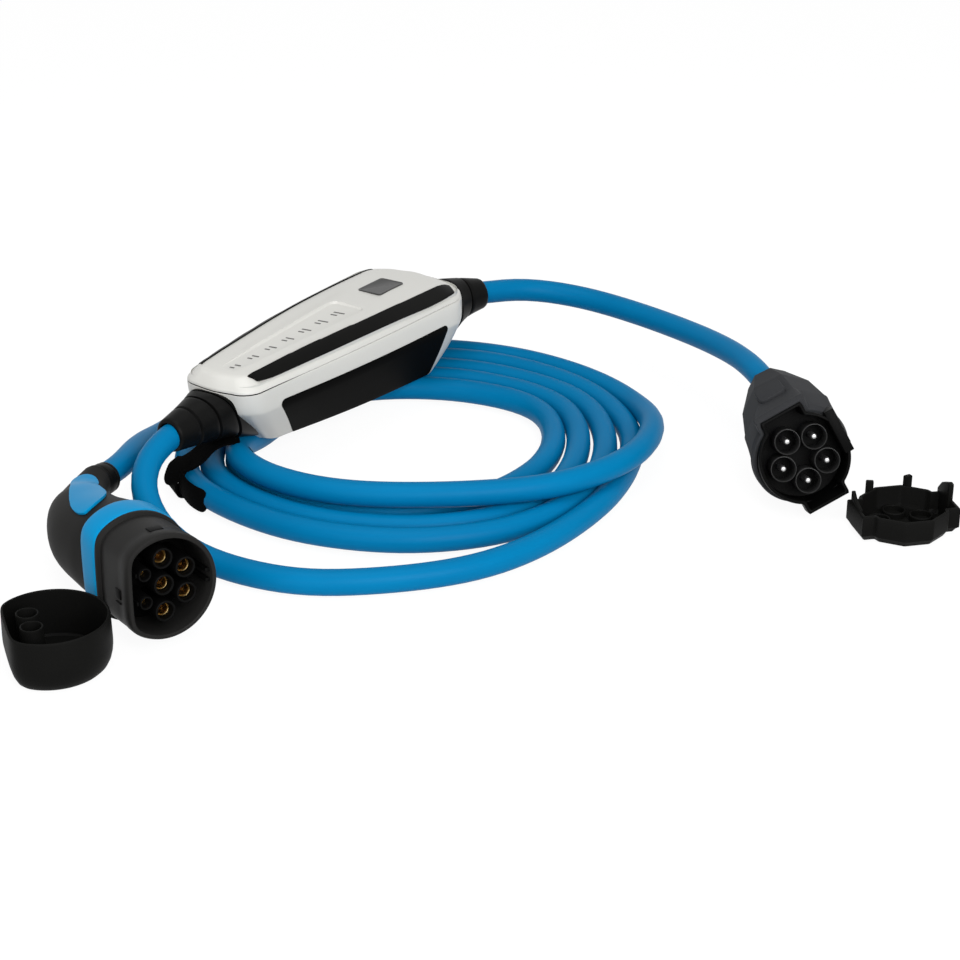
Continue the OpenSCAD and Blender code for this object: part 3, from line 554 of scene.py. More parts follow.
def rounded_outline(corners, radius, arc=6):
    """Points along a flat polygon with rounded corners."""
    points = []
    total = len(corners)
    for i, corner in enumerate(corners):
        here = Vector(corner)
        back = (Vector(corners[i - 1]) - here).normalized()
        on = (Vector(corners[(i + 1) % total]) - here).normalized()
        half = back.angle(on) / 2
        reach = radius / math.tan(half)
        first, last = here + back * reach, here + on * reach
        middle = here + (back + on).normalized() * (radius / math.sin(half))
        a0 = math.atan2(first.y - middle.y, first.x - middle.x)
        a1 = math.atan2(last.y - middle.y, last.x - middle.x)
        turn = (a1 - a0 + math.pi) % (2 * math.pi) - math.pi
        for k in range(arc + 1):
            a = a0 + turn * k / arc
            points.append((middle.x + radius * math.cos(a), middle.y + radius * math.sin(a)))
    return points


def patch(name, outline, step_x=1.0, step_y=1.0):
    """A flat sheet with a rounded outline, crossed by fine cuts where it has to follow a curved face."""
    fresh()
    bpy.ops.mesh.primitive_circle_add(vertices=len(outline), radius=1, fill_type="NGON")
    piece = bpy.context.object
    piece.name = name
    bpy.ops.object.mode_set(mode="EDIT")
    mesh = bmesh.from_edit_mesh(piece.data)
    mesh.verts.ensure_lookup_table()
    for vert, (x, y) in zip(mesh.verts, outline):
        vert.co = (x, y, 0)
    bmesh.update_edit_mesh(piece.data)
    for axis, step in ((0, step_x), (1, step_y)):
        low = min(p[axis] for p in outline)
        high = max(p[axis] for p in outline)
        for k in range(1, int((high - low) / step)):
            spot = [0, 0, 0]
            normal = [0, 0, 0]
            spot[axis] = low + k * step
            normal[axis] = 1
            bpy.ops.mesh.select_all(action="SELECT")
            bpy.ops.mesh.bisect(plane_co=spot, plane_no=normal)
    bpy.ops.mesh.select_all(action="SELECT")
    bpy.ops.mesh.normals_make_consistent(inside=False)
    bpy.ops.object.mode_set(mode="OBJECT")
    return piece


def block(name, size, place, edge, turn=None):
    """A plain block with softened edges; sizes and place in millimetres."""
    fresh()
    bpy.ops.mesh.primitive_cube_add(size=1)
    piece = bpy.context.object
    piece.name = name
    piece.scale = Vector(size) * MM
    bpy.ops.object.transform_apply(scale=True)
    if edge:
        modify(piece, "BEVEL", width=edge * MM, segments=3)
    return place_at(piece, stand_at(*place) @ (turn or Matrix.Identity(4)))


def lay_on(piece, target, axis, offset, thickness, edge, positive=False):
    """Presses a flat sheet onto a curved face and gives it thickness and a soft edge."""
    modify(
        piece, "SHRINKWRAP", wrap_method="PROJECT", target=target, offset=offset,
        use_project_x=axis == "x", use_project_y=axis == "y", use_project_z=axis == "z",
        use_negative_direction=not positive, use_positive_direction=positive,
    )
    modify(piece, "SOLIDIFY", thickness=thickness, offset=-1, use_even_offset=True)
    modify(piece, "BEVEL", width=edge, segments=3, limit_method="ANGLE", angle_limit=math.radians(50))
    return piece


# Control box

BOX_X, BOX_Y, BOX_Z = 114.5, 193, 18
BOX = stand_at(BOX_X, BOX_Y, BOX_Z)
# Height, left end, right end, half widths at the narrow and the wide end, corner radius at each end
BOX_KEYS = (
    (0, -74.2, 80.5, 11.3, 33.2, 8, 10),
    (0.5, -76.0, 82.6, 12.4, 34.6, 9, 11),
    (2.0, -78.4, 85.0, 13.8, 36.0, 9.8, 12),
    (18, -98.0, 98.5, 22.4, 42.6, 13, 16),
    (31, -113.0, 108.0, 28.6, 46.6, 15.6, 20),
    (36, -116.6, 110.5, 29.7, 47.4, 16, 21),
    (45, -118.3, 115.5, 29.4, 45.0, 15.2, 22),
    (49, -118.7, 118.5, 28.6, 42.6, 14.4, 23),
    (50.8, -118.2, 117.8, 27.2, 40.6, 13.8, 22.5),
    (55.2, -115.4, 110.8, 22.6, 33.6, 12, 21),
    (57.0, -113.4, 107.4, 20.8, 30.8, 11, 20),
    (57.8, -111.0, 104.8, 18.8, 28.6, 10, 18.5),
    (58.0, -108.4, 102.2, 16.6, 26.2, 9, 17),
)
BOX_SEAM = 48.0


def box_arch(x, z):
    """How much the top rises above its level: most in the middle of the length."""
    return 2.1 * min(max((z - 40) / 17, 0), 1) * (1 - ((x + 4) / 115) ** 2)


def box_ring(key, inset=0.0, lift=0.0, gape=0.0):
    """One level of the box: a boat-shaped outline with rounded ends, arched towards the top."""
    z, x0, x1, w0, w1, r0, r1 = key
    x0, x1, w0, w1 = x0 + inset, x1 - inset, w0 - inset, w1 - inset
    r0, r1 = max(r0 - inset, 1.0), max(r1 - inset, 1.0)
    arcs = (
        (x0 + r0, r0 - w0, 180, r0), (x1 - r1, r1 - w1, 270, r1),
        (x1 - r1, w1 - r1, 0, r1), (x0 + r0, w0 - r0, 90, r0),
    )
    spans = (28, 6, 28, 6)
    bows = (3.0, 2.4, 3.0, 1.8)
    ring = []
    for i, (cx, cy, start, r) in enumerate(arcs):
        for k in range(9):
            a = math.radians(start + 90 * k / 8)
            ring.append(Vector((cx + r * math.cos(a), cy + r * math.sin(a), z + lift)))
        nx, ny, nstart, nr = arcs[(i + 1) % 4]
        begin = ring[-1].copy()
        a = math.radians(nstart)
        end = Vector((nx + nr * math.cos(a), ny + nr * math.sin(a), z + lift))
        side = (end - begin).normalized()
        out = Vector((side.y, -side.x, 0))
        for k in range(1, spans[i]):
            t = k / spans[i]
            ring.append(begin.lerp(end, t) + out * bows[i] * (4 * t * (1 - t)) ** 1.3)
    for point in ring:
        # The seam opens a little towards the narrow end
        point.z += box_arch(point.x, z) + gape * min(max((-66 - point.x) / 34, 0), 1)
    return [p * MM for p in ring]


levels = spline_keys(BOX_KEYS, 4)
under = [k for k in levels if k[0] < BOX_SEAM - 0.5]
over = [k for k in levels if k[0] > BOX_SEAM + 0.5]
seam_key = min(levels, key=lambda k: abs(k[0] - BOX_SEAM))


def seam_ring(rise, inset, gape=0.0):
    """A ring near the seam, with the outline that the box has there."""
    return box_ring([BOX_SEAM + rise, *seam_key[1:]], inset, gape=gape)


lower_rings = [box_ring(k) for k in under]
lower_rings += [
    seam_ring(-0.3, 0, -0.3), seam_ring(-0.08, 0.22, -0.3), seam_ring(-0.08, 2.4, -0.3), seam_ring(-6, 2.6),
]
lower_cover = loft("lower_cover", lower_rings, (True, False))
settle(lower_cover, "cover_white", "bottom_cover", place=BOX)
seal = loft("seal_band", [seam_ring(rise, 0.42) for rise in (-0.7, 0, 0.7)], (False, False))
settle(seal, "soft_black", "housing_seal", place=BOX)

upper_rings = [
    seam_ring(5, 2.6), seam_ring(0.08, 2.4, 0.35), seam_ring(0.08, 0.22, 0.35), seam_ring(0.3, 0, 0.35),
]
upper_rings += [box_ring(k) for k in over]
crown = BOX_KEYS[-1]
upper_rings += [box_ring(crown, 2, 0.12), box_ring(crown, 5, 0.26), box_ring(crown, 9, 0.36)]
upper_cover = loft("upper_cover", upper_rings, (False, True))
place_at(upper_cover, BOX)


# Upper and lower line of a trim strip: place along the box and out from its middle
TRIM_UPPER = (
    (-108.2, 19), (-82.5, 21.4), (-58.2, 23.2), (-33.9, 25.4), (-8.9, 27.4), (17.7, 29), (45.8, 30),
    (75.4, 30.6), (98, 31),
)
TRIM_LOWER = (
    (94, 40), (67.8, 39.7), (34.1, 38), (6.8, 36.4), (-19.2, 34.5), (-43.8, 32.3), (-67.4, 29.7),
    (-90.3, 27), (-103.6, 24.6),
)


def trim_outline(side, inward=0.0):
    upper = [tuple(p) for p in spline_keys(TRIM_UPPER, 4)]
    lower = [tuple(p) for p in spline_keys(TRIM_LOWER, 4)]
    points = [*upper, (100.8, 31.8), (101.6, 33), (98.6, 39), (96.6, 39.8), *lower, (-105, 24)]
    return [((x + BOX_X) * MM, (side * (y - inward) + BOX_Y) * MM) for x, y in points]


for side, name, node in ((-1, "near_strip", "near_trim"), (1, "far_strip", "far_trim")):
    strip = patch(name, trim_outline(side, 1.4 if side > 0 else 0), 6 * MM, 2.5 * MM)
    place_at(strip, stand_at(0, 0, 100))
    lay_on(strip, upper_cover, "z", (0.9 if side > 0 else 0.35) * MM, 1.8 * MM, 0.35 * MM)
    settle(strip, "trim_black", node)


def grip_outline():
    corners = [(-94, 38), (-58.5, 0.6), (72, 0.6), (79.5, 37.5)]
    points = rounded_outline(corners, 3.2)
    return [((x + BOX_X) * MM, (z + BOX_Z) * MM) for x, z in points]


for side, name, node in ((-1, "near_side_grip", "near_grip"), (1, "far_side_grip", "far_grip")):
    grip = patch(name, grip_outline(), 6 * MM, 3 * MM)
    place_at(grip, stand_at(0, BOX_Y + side * 90, 0) @ spin(90, "X"))
    lay_on(grip, lower_cover, "y", 0.45 * MM, 1.5 * MM, 0.5 * MM, positive=side < 0)
    settle(grip, "grip_black", node)

# Shallow trough for the lights, then the light bars and the plate
TROUGH_LEFT, TROUGH_RIGHT = -107, 24.5
trough_rings = []
for grow, z in ((0, 58.55), (0.6, 58.65), (4.6, 62.6)):
    left, right = TROUGH_LEFT - grow, TROUGH_RIGHT + grow
    corners = [(left, -8.6 - grow), (right, -14.6 - grow), (right, 10 + grow), (left, 2.4 + grow)]
    outline = rounded_outline(corners, 3.5 + grow)
    trough_rings.append([Vector((x + BOX_X, y + BOX_Y, z + BOX_Z)) * MM for x, y in outline])
cut(upper_cover, loft("trough", trough_rings))
settle(upper_cover, "cover_white", "top_cover", angle=24)

LIGHTS = 7
LIGHT_PITCH = 18.35
FIRST_LIGHT = Vector((BOX_X - 100.55, BOX_Y - 3.4, 76.25))
bars = []
for k in range(LIGHTS):
    # Each light is a short and a long bar, and both grow towards the wide end
    for aside, long in (((-2.4, 0.45, 0), 3.3 + 0.27 * k), ((2.4, -0.45, 0), 4.4 + 0.66 * k)):
        spot = FIRST_LIGHT + Vector(aside) + Vector((LIGHT_PITCH * k, 0, 0))
        bars.append(block("light_bar", (1.5, long, 1.2), spot, 0.35, spin(6, "Z")))
settle(join("light_bars", bars), "guide_dark", "indicator_window")

PLATE = stand_at(181.2, 192.9, 78.2) @ spin(0.75, "Y")
plate_outline = rounded_outline([(-14.6, -9.6), (14.6, -9.6), (14.6, 9.6), (-14.6, 9.6)], 2.4)
plate = patch("bare_plate", [(x * MM, y * MM) for x, y in plate_outline])
place_at(plate, PLATE)
modify(plate, "SOLIDIFY", thickness=1.0 * MM, offset=-1)
edit(plate)
pick(plate, "faces", lambda f: f.normal.z > 0.9)
bpy.ops.mesh.inset(thickness=1.2 * MM)
bpy.ops.mesh.inset(thickness=0.5 * MM, depth=-0.25 * MM)
fresh()
modify(plate, "BEVEL", width=0.25 * MM, segments=3, limit_method="ANGLE", angle_limit=math.radians(40))
settle(plate, "plate_dark", "emblem_plate")


# Boots


def oval_ring(centre, half_w, half_h, pitch, yaw, sides=56, power=2.0, taper=0.0):
    """An oval ring that faces along a yaw and a pitch and may narrow towards its foot."""
    turn = spin(yaw, "Z") @ spin(90 - pitch, "Y")
    ring = []
    for k in range(sides):
        a = 2 * math.pi * k / sides
        c, s = math.cos(a), math.sin(a)
        c = math.copysign(abs(c) ** (2 / power), c)
        s = math.copysign(abs(s) ** (2 / power), s)
        ring.append((Vector(centre) + turn @ Vector((half_h * c, half_w * s * (1 - taper * c), 0))) * MM)
    return ring


def boot_rings(stations):
    """Four stepped bands, each a little smaller towards the cable, with a groove between them."""
    rows = spline_keys(stations, 8)
    rings = []
    for i, row in enumerate(rows):
        band, part = divmod(i, 8)
        if i == len(rows) - 1:
            swell = (0.97,)
        elif part == 0 and band > 0:
            swell = (1.0, 0.89, 0.87, 0.97)
        else:
            swell = (1.0,)
        for k, s in enumerate(swell):
            shift = (k - 1.5) * 0.3 if len(swell) > 1 else 0
            near = rows[min(i + 1, len(rows) - 1)]
            at = [a + (b - a) * shift for a, b in zip(row, near)]
            rings.append(oval_ring(at[:3], at[3] * s, at[4] * s, at[5], at[6], power=at[7], taper=at[8]))
    last = rows[-1]
    way = spin(last[6], "Z") @ Vector((1, 0, 0))
    # The mouth turns in and runs back along the cable
    for on, r in ((0.6, 9.4), (0.4, 8.3), (-6, 8.1)):
        rings.append(oval_ring(Vector(last[:3]) + way * on, r, r, last[5], last[6]))
    return rings


# Place, half width, half height, pitch, yaw, squareness and taper of each station from the box to the cable
LEFT_BOOT = (
    (-94, 3, 22.4, 17.5, 31, -46, 180, 3.0, 0.36), (-114, 2.5, 29.4, 18, 20.5, -26, 180, 2.6, 0.15),
    (-128, 3, 31, 16, 16.4, -12, 178, 2.2, 0.05), (-142, 4, 30.8, 13.6, 13.4, -5, 177, 2.0, 0),
    (-157.5, 5, 30, 10.8, 10.8, 0, 176, 2.0, 0),
)
RIGHT_BOOT = (
    (84, -2, 18, 32, 32, -48, 0, 2.6, 0.2), (106, -7, 24.5, 30, 26.5, -28, -8, 2.4, 0.1),
    (122, -13.5, 29.5, 22.5, 20, -14, -16, 2.1, 0), (137, -20, 33, 15.2, 14.6, -5, -22, 2.0, 0),
    (151, -27.7, 34, 10.8, 10.8, 0, -24, 2.0, 0),
)
for name, stations, node in (
    ("vehicle_boot", LEFT_BOOT, "vehicle_side_boot"), ("supply_boot", RIGHT_BOOT, "supply_side_boot")
):
    boot = loft(name, boot_rings(stations), (True, False))
    settle(boot, "soft_black", node, place=BOX, angle=40)


# Shared forms for the connector, the plug and their caps


def d_ring(r, z, grow=7.5, sides=128, power=14):
    """A round outline with one flat side towards -X and soft corners."""
    ring = []
    for k in range(sides):
        a = 2 * math.pi * k / sides
        to_flat = max(-math.cos(a), 0) / (r - grow)
        reach = ((1 / r) ** power + to_flat**power) ** (-1 / power)
        ring.append(Vector((reach * math.cos(a), reach * math.sin(a), z)) * MM)
    return ring


def round_ring(r, z, x=0.0, y=0.0, sides=48):
    return [
        Vector((x + r * math.cos(2 * math.pi * k / sides), y + r * math.sin(2 * math.pi * k / sides), z)) * MM
        for k in range(sides)
    ]


def turned(name, profile, x=0.0, y=0.0, sides=48, caps=(False, False)):
    """A turned form from pairs of radius and height."""
    return loft(name, [round_ring(r, z, x, y, sides) for r, z in profile], caps)


# Vehicle connector, modelled with the nose along +Z and the flat towards -X

CONNECTOR = stand_at(-185.5, 83.5, 37.5) @ spin(-113.5, "Z") @ spin(-4.1, "Y") @ spin(-2.5, "X")
NOSE = CONNECTOR @ Matrix(((0, 0, 1, 0), (1, 0, 0, 0), (0, 1, 0, 0), (0, 0, 0, 1)))

nose_profile = (
    (29.0, -39), (32.0, -39), (32.5, -38.6), (32.6, -37), (32.3, -36.3), (31.4, -36), (30.3, -35.7),
    (30.1, -35), (30.4, -34.4), (30.6, -30), (30.7, -14), (30.75, -9), (31.0, -8.4), (31.1, -4), (31.0, -1.8),
    (30.7, -0.8), (30.2, -0.2), (29.6, 0), (28.7, -0.05), (28.2, -0.4), (27.95, -1.4), (27.8, -8),
    (27.6, -30),
)
nose = loft("connector_nose", [d_ring(r, z) for r, z in nose_profile], (False, False))
modify(nose, "SOLIDIFY", thickness=0.2 * MM, offset=-1)
settle(nose, "nose_black", "nose_shroud", place=NOSE, angle=30)
# Painted shade: near-black blocks set into the nose wall stand for the latch hole and the slot and slit on
# the flat; nothing is cut out
hole_shade_blocks = [
    block("latch_hole_shade", (8.4, 1.4, 6.2), (0, 30.4, -12), 0.4),
    block("flat_slot_shade", (1.4, 5.8, 6.4), (-23.0, -3, -13.5), 0.4),
    block("flat_slit_shade", (1.0, 0.9, 6.4), (-23.1, -8.4, -14), 0.2),
]
settle(join("nose_hole_shade", hole_shade_blocks), "hollow_black", place=NOSE)

POWER_PLACES = ((0, -15.7), (0, 0), (0, 15.7), (13.5, -7.6), (13.5, 7.6))
SIGNAL_PLACES = ((-11.2, -8.3), (-11.2, 8.3))
POWER_SLEEVE = (
    (6.5, -30), (6.3, -8), (6.2, -4.2), (6.0, -3.75), (5.6, -3.55), (5.1, -3.6), (4.75, -4), (4.6, -5),
    (4.5, -18),
)
POWER_CONTACT = (
    (4.3, -20), (4.3, -8.4), (4.1, -8.05), (3.7, -7.95), (3.3, -8.3), (3.05, -9), (3.0, -20), (1.5, -21.5),
)
CONTACT_SPRING = ((3.0, -14), (2.7, -13.2), (2.55, -12), (2.7, -10.8), (3.0, -10))
SIGNAL_SLEEVE = (
    (4.4, -30), (4.2, -6), (4.0, -4), (3.7, -3.6), (3.3, -3.55), (2.9, -4), (2.7, -5.5), (2.6, -18),
)
SIGNAL_CONTACT = ((2.4, -20), (2.4, -10.4), (2.2, -10), (1.8, -9.95), (1.5, -10.4), (1.5, -20))
carrier_rings = [d_ring(r, z) for r, z in ((27.6, -33), (27.5, -29.2), (27.0, -29), (8, -29))]
carrier_parts = [loft("carrier_plate", carrier_rings, (False, True))]
contacts = []
for x, y in POWER_PLACES:
    carrier_parts.append(turned("power_sleeve", POWER_SLEEVE, x, y))
    contacts.append(turned("power_contact", POWER_CONTACT, x, y, 40, (False, True)))
    contacts.append(turned("contact_spring", CONTACT_SPRING, x, y, 40))
for x, y in SIGNAL_PLACES:
    carrier_parts.append(turned("signal_sleeve", SIGNAL_SLEEVE, x, y, 40))
    carrier_parts.append(block("sleeve_key", (1.5, 2.2, 22), (x - 4.4, y, -16), 0.3))
    contacts.append(turned("signal_contact", SIGNAL_CONTACT, x, y, 32, (False, True)))
for y in (-3, 3):
    carrier_parts.append(block("coding_rib", (3, 2.2, 22), (26.6, y, -14), 0.4))
inside = join("connector_inside", carrier_parts)
settle(inside, "hollow_black", "contact_carrier", "contact_sleeves", place=NOSE)
settle(join("connector_contacts", contacts), "contact_brass", "power_contacts", "signal_contacts", place=NOSE)

collar_profile = (
    (29.5, -52.4), (32.6, -52.4), (33.3, -52), (33.7, -51), (33.8, -48.5), (33.7, -45), (33.3, -41),
    (33.0, -39.2), (32.7, -38.6), (32.0, -38.4), (31.0, -38.5), (30.0, -39.5),
)
collar_rings = []
for r, z in collar_profile:
    # The back edge slants: it reaches further over the handle on top
    slant = 4 * MM * min(max((-z - 43) / 9.4, 0), 1)
    collar_rings.append([p - Vector((0, 0, slant * (0.5 + p.y / (2 * 34 * MM)))) for p in d_ring(r, z)])
collar = loft("collar_band", collar_rings, (False, False))
settle(collar, "collar_blue", "collar", place=NOSE)

# Handle: place, half width, half height, turn of each ring
HANDLE_KEYS = (
    (-51, 3.6, 0, 28.8, 31.8, 0), (-58, 2.6, 0, 28.8, 30.6, 0), (-72, 1.6, 0, 28.8, 28.2, 0),
    (-96, 1, 0, 26.6, 24.2, 6), (-118, 5, 2, 21.4, 19.6, 18), (-134, 12.5, 3.5, 15.8, 13.8, 32),
    (-146, 21.5, 6, 12.6, 10.8, 48), (-154, 30, 8, 10.6, 10.6, 60),
)
handle_rings = [oval_ring(k[:3], k[3], k[4], 0, 180 - k[5], 72, 2.15) for k in spline_keys(HANDLE_KEYS, 5)]
handle_end = Vector(HANDLE_KEYS[-1][:3])
GLAND_YAW = 180 - HANDLE_KEYS[-1][5]
GLAND_WAY = spin(GLAND_YAW, "Z") @ Vector((1, 0, 0))
handle_rings.append(oval_ring(handle_end, 8.2, 8.2, 0, GLAND_YAW, 72))
handle = loft("handle_body", handle_rings, (True, False))

# Leaf-shaped pad: middle line and half width from the tip to the blunt end
PAD_LINE = (
    (-69, -15, 0.4), (-71, -13.8, 3), (-75, -11.4, 6), (-82, -7.6, 8.8), (-91, -3.2, 10.2), (-101, 0.8, 10.2),
    (-112, 4.4, 8.9), (-122, 8, 7.5), (-130, 11.6, 7.6), (-136, 14.8, 7.6), (-140.6, 17.4, 6.4),
    (-143.6, 19.2, 4.0), (-144.8, 20, 0.6),
)


def leaf_outline(line):
    left, right = [], []
    rows = spline_keys(line, 4)
    for i, (x, y, half) in enumerate(rows):
        ahead, behind = rows[min(i + 1, len(rows) - 1)], rows[max(i - 1, 0)]
        way = Vector((ahead[0] - behind[0], ahead[1] - behind[1])).normalized()
        left.append(((x - way.y * half) * MM, (y + way.x * half) * MM))
        right.append(((x + way.y * half) * MM, (y - way.x * half) * MM))
    return left + right[::-1]


pad = patch("blue_pad", leaf_outline(PAD_LINE), 3 * MM, 3 * MM)
place_at(pad, stand_at(0, 0, 80))
lay_on(pad, handle, "z", 0.35 * MM, 1.6 * MM, 0.3 * MM)
settle(pad, "collar_blue", "handle_pad", place=CONNECTOR)
settle(handle, "handle_black", "connector_handle", place=CONNECTOR, angle=50)

gland_profile = (
    (8.3, 0.1), (10.3, 0.15), (10.7, 0.5), (10.7, 2.2), (10.4, 2.6), (9.6, 2.8), (9.5, 3.4), (10.0, 3.7),
    (10.1, 4.4), (10.0, 8.6), (9.7, 9.2), (9.3, 9.4), (9.3, 9.9), (9.7, 10.2), (9.7, 11.4), (9.4, 11.9),
    (9.0, 12.1), (8.6, 12.05), (8.2, 11.6), (8.1, 7),
)
gland_rings = [oval_ring(handle_end + GLAND_WAY * on, r, r, 0, GLAND_YAW) for r, on in gland_profile]
gland = loft("gland_nut_body", gland_rings, (False, False))
settle(gland, "soft_black", "gland_nut", place=CONNECTOR)

# Loose cap of the connector
VEHICLE_CAP = stand_at(-236.2, 124.1, 0) @ spin(-39, "Z")
cap_profile = (
    (23.5, 0.1), (27, 0.15), (28, 0.7), (30.0, 2.6), (31.5, 5.6), (32.4, 9), (32.8, 12), (32.9, 15),
    (32.8, 20), (32.6, 29.6), (32.4, 30.5), (31.9, 30.9), (31.4, 30.95), (31.0, 30.5), (30.9, 29.6),
    (30.6, 12),
    (29.2, 4.5), (28, 3.4), (22, 3.2),
)
CAP_TUBE = ((6.7, 3), (6.5, 30), (6.3, 30.7), (5.9, 30.9), (5.5, 30.7), (5.3, 30), (5.2, 6), (3, 5))
cap_parts = [loft("cap_shell", [d_ring(r, z) for r, z in cap_profile], (True, True))]
for y in (-8, 8):
    cap_parts.append(turned("cap_tube", CAP_TUBE, -11.2, y, 48, (False, True)))
settle(join("connector_cap", cap_parts), "cap_black", "vehicle_cap", place=VEHICLE_CAP, angle=34)


# Supply plug, modelled with its face up at z = 0

PLUG = stand_at(156, -141, 38.5) @ spin(-145.7, "Z") @ spin(72, "Y") @ spin(118.7, "Z")
PLUG_R = 28.7
LOBE_HALF = 14.3
LOBE_REACH = 32.4
PIN_CIRCLE = 14.5
PIN_PLACES = [(spin(180 + 72 * k, "Z") @ Vector((PIN_CIRCLE, 0, 0)))[:2] for k in range(5)]


def lobed_ring(grow, z, lower=True, facets=0, tilt=0.0, shift=(0, 0, 0), sides=180):
    """A round or many-sided outline with a lobe at each end, on a level or tilted plane."""
    ring = []
    for k in range(sides):
        a = 2 * math.pi * (k + 0.5) / sides
        c, s = math.cos(a), math.sin(a)
        reach = PLUG_R + grow
        if facets:
            part = 2 * math.pi / facets
            off = (a + part / 2) % part - part / 2
            reach = reach * math.cos(part / 2) * 1.015 / math.cos(off)
        if s > 0 or lower:
            to_side = (LOBE_HALF + grow) / max(abs(c), 1e-6)
            to_end = (LOBE_REACH + grow) / max(abs(s), 1e-6)
            reach = max(reach, min(to_side, to_end))
        point = spin(tilt, "X") @ Vector((reach * c, reach * s, 0))
        ring.append((point + Vector(shift) + Vector((0, 0, z))) * MM)
    return ring


shroud_rings = [lobed_ring(g, z, lower=z > -13) for g, z in (
    (0, -34), (0, -13.2), (0.05, -12), (0, -6), (0, -0.8), (-0.25, -0.25), (-0.7, 0), (-1.5, 0), (-1.9, -0.2),
    (-2.1, -0.8), (-2.3, -6), (-2.6, -21))]
shroud = loft("plug_mouth", shroud_rings, (False, True))
rails = [
    block("side_rail", (6.0, 29, 14), (26.4, 4.5, -6.8), 0.6),
    block("side_rail", (2.0, 24, 13), (29.4, 6, -12), 0.5),
]
shroud_body = join("plug_shroud_body", [shroud, *rails])
settle(shroud_body, "plug_black", "plug_shroud", "plug_insert", place=PLUG, angle=28)

WELL_TUBE = ((8.1, -21), (8.1, -3.3), (7.9, -3.0), (7.6, -3.0), (7.4, -3.3), (7.4, -21))
PIN = ((2.0, -21), (2.0, -5.4), (1.8, -4.6), (1.3, -4.0), (0.6, -3.8))
wells = [turned("well_tube", WELL_TUBE, x, y, 64) for x, y in PIN_PLACES]
pins = [turned("pin", PIN, x, y, 32, (False, True)) for x, y in PIN_PLACES]
settle(join("plug_wells", wells), "well_grey", "pin_wells", place=PLUG)
settle(join("plug_pins", pins), "pin_silver", "supply_pins", place=PLUG)


def eight_ring(r, place, tilt, sides=180):
    """An eight-sided ring that leans back with the tail."""
    turn = spin(tilt, "X") @ spin(-4, "Y")
    ring = []
    for k in range(sides):
        a = 2 * math.pi * (k + 0.5) / sides
        off = (a + math.pi / 8) % (math.pi / 4) - math.pi / 8
        reach = r * math.cos(math.pi / 8) / math.cos(off)
        ring.append((Vector(place) + turn @ Vector((reach * math.cos(a), reach * math.sin(a), 0))) * MM)
    return ring


# Growth, height, tilt and sideways shift of the rim's rings, then radius, place and tilt of the tail's
HOUSING_RIM = (
    (0.2, -11.2, 17, (0, 0.5, 0)), (1.9, -10.8, 17, (0, 0.5, 0)), (2.4, -11.4, 17, (0, 0.5, 0)),
    (3.2, -17, 19, (0.8, 2.2, 0)), (2.4, -18, 20, (1, 2.8, 0)),
)
HOUSING_TAIL = (
    (31.4, (5, 12, -39), 26), (30.4, (5.3, 13.4, -41.4), 26), (25.6, (7.4, 25, -58.6), 27),
    (24.4, (7.7, 26.4, -61), 27), (15.4, (9.4, 37.2, -75.6), 30), (14.4, (9.6, 38.5, -77.4), 30),
    (13.4, (9.7, 39, -78), 30), (8.3, (9.7, 39, -78), 30),
)
housing_rings = [
    lobed_ring(grow, z, lower=False, tilt=tilt, shift=shift) for grow, z, tilt, shift in HOUSING_RIM
]
housing_rings += [eight_ring(*row) for row in HOUSING_TAIL]
housing = loft("plug_housing_body", housing_rings, (False, False))
raised = block("raised_pad", (18, 17, 6), (0, 0, 0), 0)
edit(raised)
pick(raised, "edges", lambda e: abs(e.verts[0].co.z - e.verts[1].co.z) > 0.004)
bpy.ops.mesh.bevel(offset=3.6 * MM, segments=6, affect="EDGES")
fresh()
modify(raised, "BEVEL", width=1.0 * MM, segments=3, limit_method="ANGLE", angle_limit=math.radians(50))
place_at(raised, stand_at(4.0, 40.4, -34.6) @ spin(-68, "X"))
settle(join("plug_body", [housing, raised]), "plug_grey", "plug_housing", place=PLUG, angle=22)

# Loose cap of the plug
SUPPLY_CAP = stand_at(170.8, -201.7, 0) @ spin(-135.7, "Z")
LID_RING = ((7.4, 2.6), (7.3, 6.0), (7.0, 6.4), (6.4, 6.4), (6.1, 6.0), (6.0, 2.6))
lid_rings = [lobed_ring(g, z, facets=10) for g, z in (
    (-4.2, 0.1), (-3.4, 0.5), (-1.4, 3.6), (-0.9, 4.2), (-0.8, 5), (-0.8, 16.2), (-1.1, 16.8), (-1.5, 17),
    (-2.6, 17), (-3.0, 16.8), (-3.2, 16.2), (-3.4, 6), (-5, 3), (-8, 2.8))]
lid_parts = [loft("lid_shell", lid_rings, (True, True))]
lid_parts += [turned("lid_ring", LID_RING, x, y) for x, y in PIN_PLACES]


def fin(name, outline, place, yaw, thick):
    """An upright tab: a side view pushed out to its thickness."""
    piece = patch(name, [(x * MM, z * MM) for x, z in rounded_outline(outline, 0.8, 3)])
    place_at(piece, spin(90, "X"))
    modify(piece, "SOLIDIFY", thickness=thick * MM, offset=0)
    modify(piece, "BEVEL", width=0.4 * MM, segments=2, limit_method="ANGLE", angle_limit=math.radians(50))
    return place_at(piece, stand_at(*place) @ spin(yaw, "Z"))


lid_parts += [
    fin("lid_tab", [(-8, 4), (8, 4), (7, 17.6), (-2, 20), (-7, 24.5), (-8.4, 24)], (-2, -29.4, 0), 0, 2.2),
    fin("lid_tab", [(-7.5, 4), (9.5, 4), (9.5, 19), (4, 25), (-4.5, 28.6), (-7.5, 28.2)],
        (-5, 29.2, 0), 180, 3.2),
    fin("lid_tab", [(-2.6, 4), (2.6, 4), (2.6, 23.4), (-2.6, 23.4)], (-25.8, 12.4, 0), 108, 3),
    fin("lid_tab", [(-2.4, 4), (2.4, 4), (2.4, 22.6), (-2.4, 22.6)], (-24.8, -13, 0), 72, 3),
]
settle(join("plug_lid", lid_parts), "cap_black", "supply_cap", place=SUPPLY_CAP, angle=28)


# Strap round the coil, with two loose ends

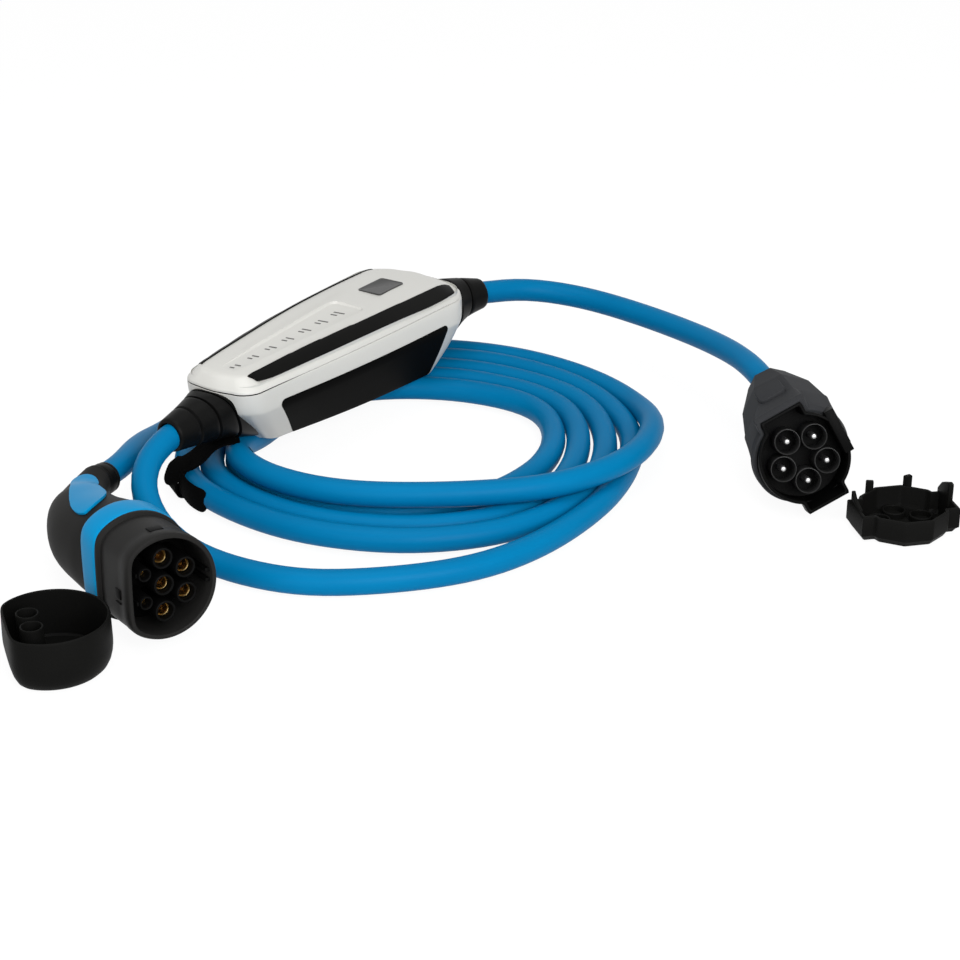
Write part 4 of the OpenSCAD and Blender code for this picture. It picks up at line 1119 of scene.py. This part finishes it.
COIL_TURN = stand_at(*COIL_MIDDLE) @ spin(146.5, "Z")
# Distance from the coil's middle and height, once round the bundle
STRAP_LOOP = (
    (100, 0.3), (118, 0.2), (136, 0.2), (149, 0.4), (152.4, 5), (152.2, 11.5), (148.5, 17.8), (139, 20.6),
    (132, 24.6), (126, 30), (118, 32.4), (109, 31.4), (101.6, 26), (98, 18), (98, 10), (98.6, 3),
)
loop = spline_keys([*STRAP_LOOP, STRAP_LOOP[0]], 4)[:-1]
strap_rings = [[Vector((u, v, z)) * MM for u, z in loop] for v in (-8.5, -8.0, 1.5, 11.5, 12)]
band = loft("strap_band", strap_rings, (False, False))
modify(band, "SOLIDIFY", thickness=1.4 * MM, offset=-1)
place_at(band, COIL_TURN)


def tongue(name, line, width_way, half, thick):
    """A strap end: a flat strip with a round tip along a line of places."""
    rows = [Vector(row) for row in spline_keys(line, 6)]
    last = len(rows) - 1
    rings = []
    for i, here in enumerate(rows):
        way = (rows[min(i + 1, last)] - rows[max(i - 1, 0)]).normalized()
        across = width_way.normalized()
        across = (across - way * across.dot(way)).normalized()
        face = way.cross(across)
        left = (last - i) / last * route_length(rows)
        wide = half * math.sqrt(max(1 - max(1 - left / half, 0) ** 2, 0.02))
        ring = []
        for k in range(24):
            a = 2 * math.pi * k / 24
            ring.append((here + across * wide * math.cos(a) + face * thick / 2 * math.sin(a)) * MM)
        rings.append(ring)
    return loft(name, rings)


# Places of each end's middle line, and the way its width lies
FLAT_END = ((-17, 207, 20), (-25, 207, 18.4), (-32, 204.8, 15.4), (-37.4, 201.5, 12))
UPRIGHT_END = ((-33, 200, 12), (-40, 188, 10.5), (-43, 178, 9.6), (-42.5, 171, 9.2))
ends = [
    tongue("strap_end", FLAT_END, Vector((0.3, 0.95, 0)), 8.5, 3),
    tongue("strap_end", UPRIGHT_END, Vector((0, 0, 1)), 8.4, 3),
]
settle(join("coil_strap", [band, *ends]), "strap_black", "strap", angle=40)


# Lengths of the two cords

round(route_length(vehicle_line), 2)
round(route_length(supply_line), 2)
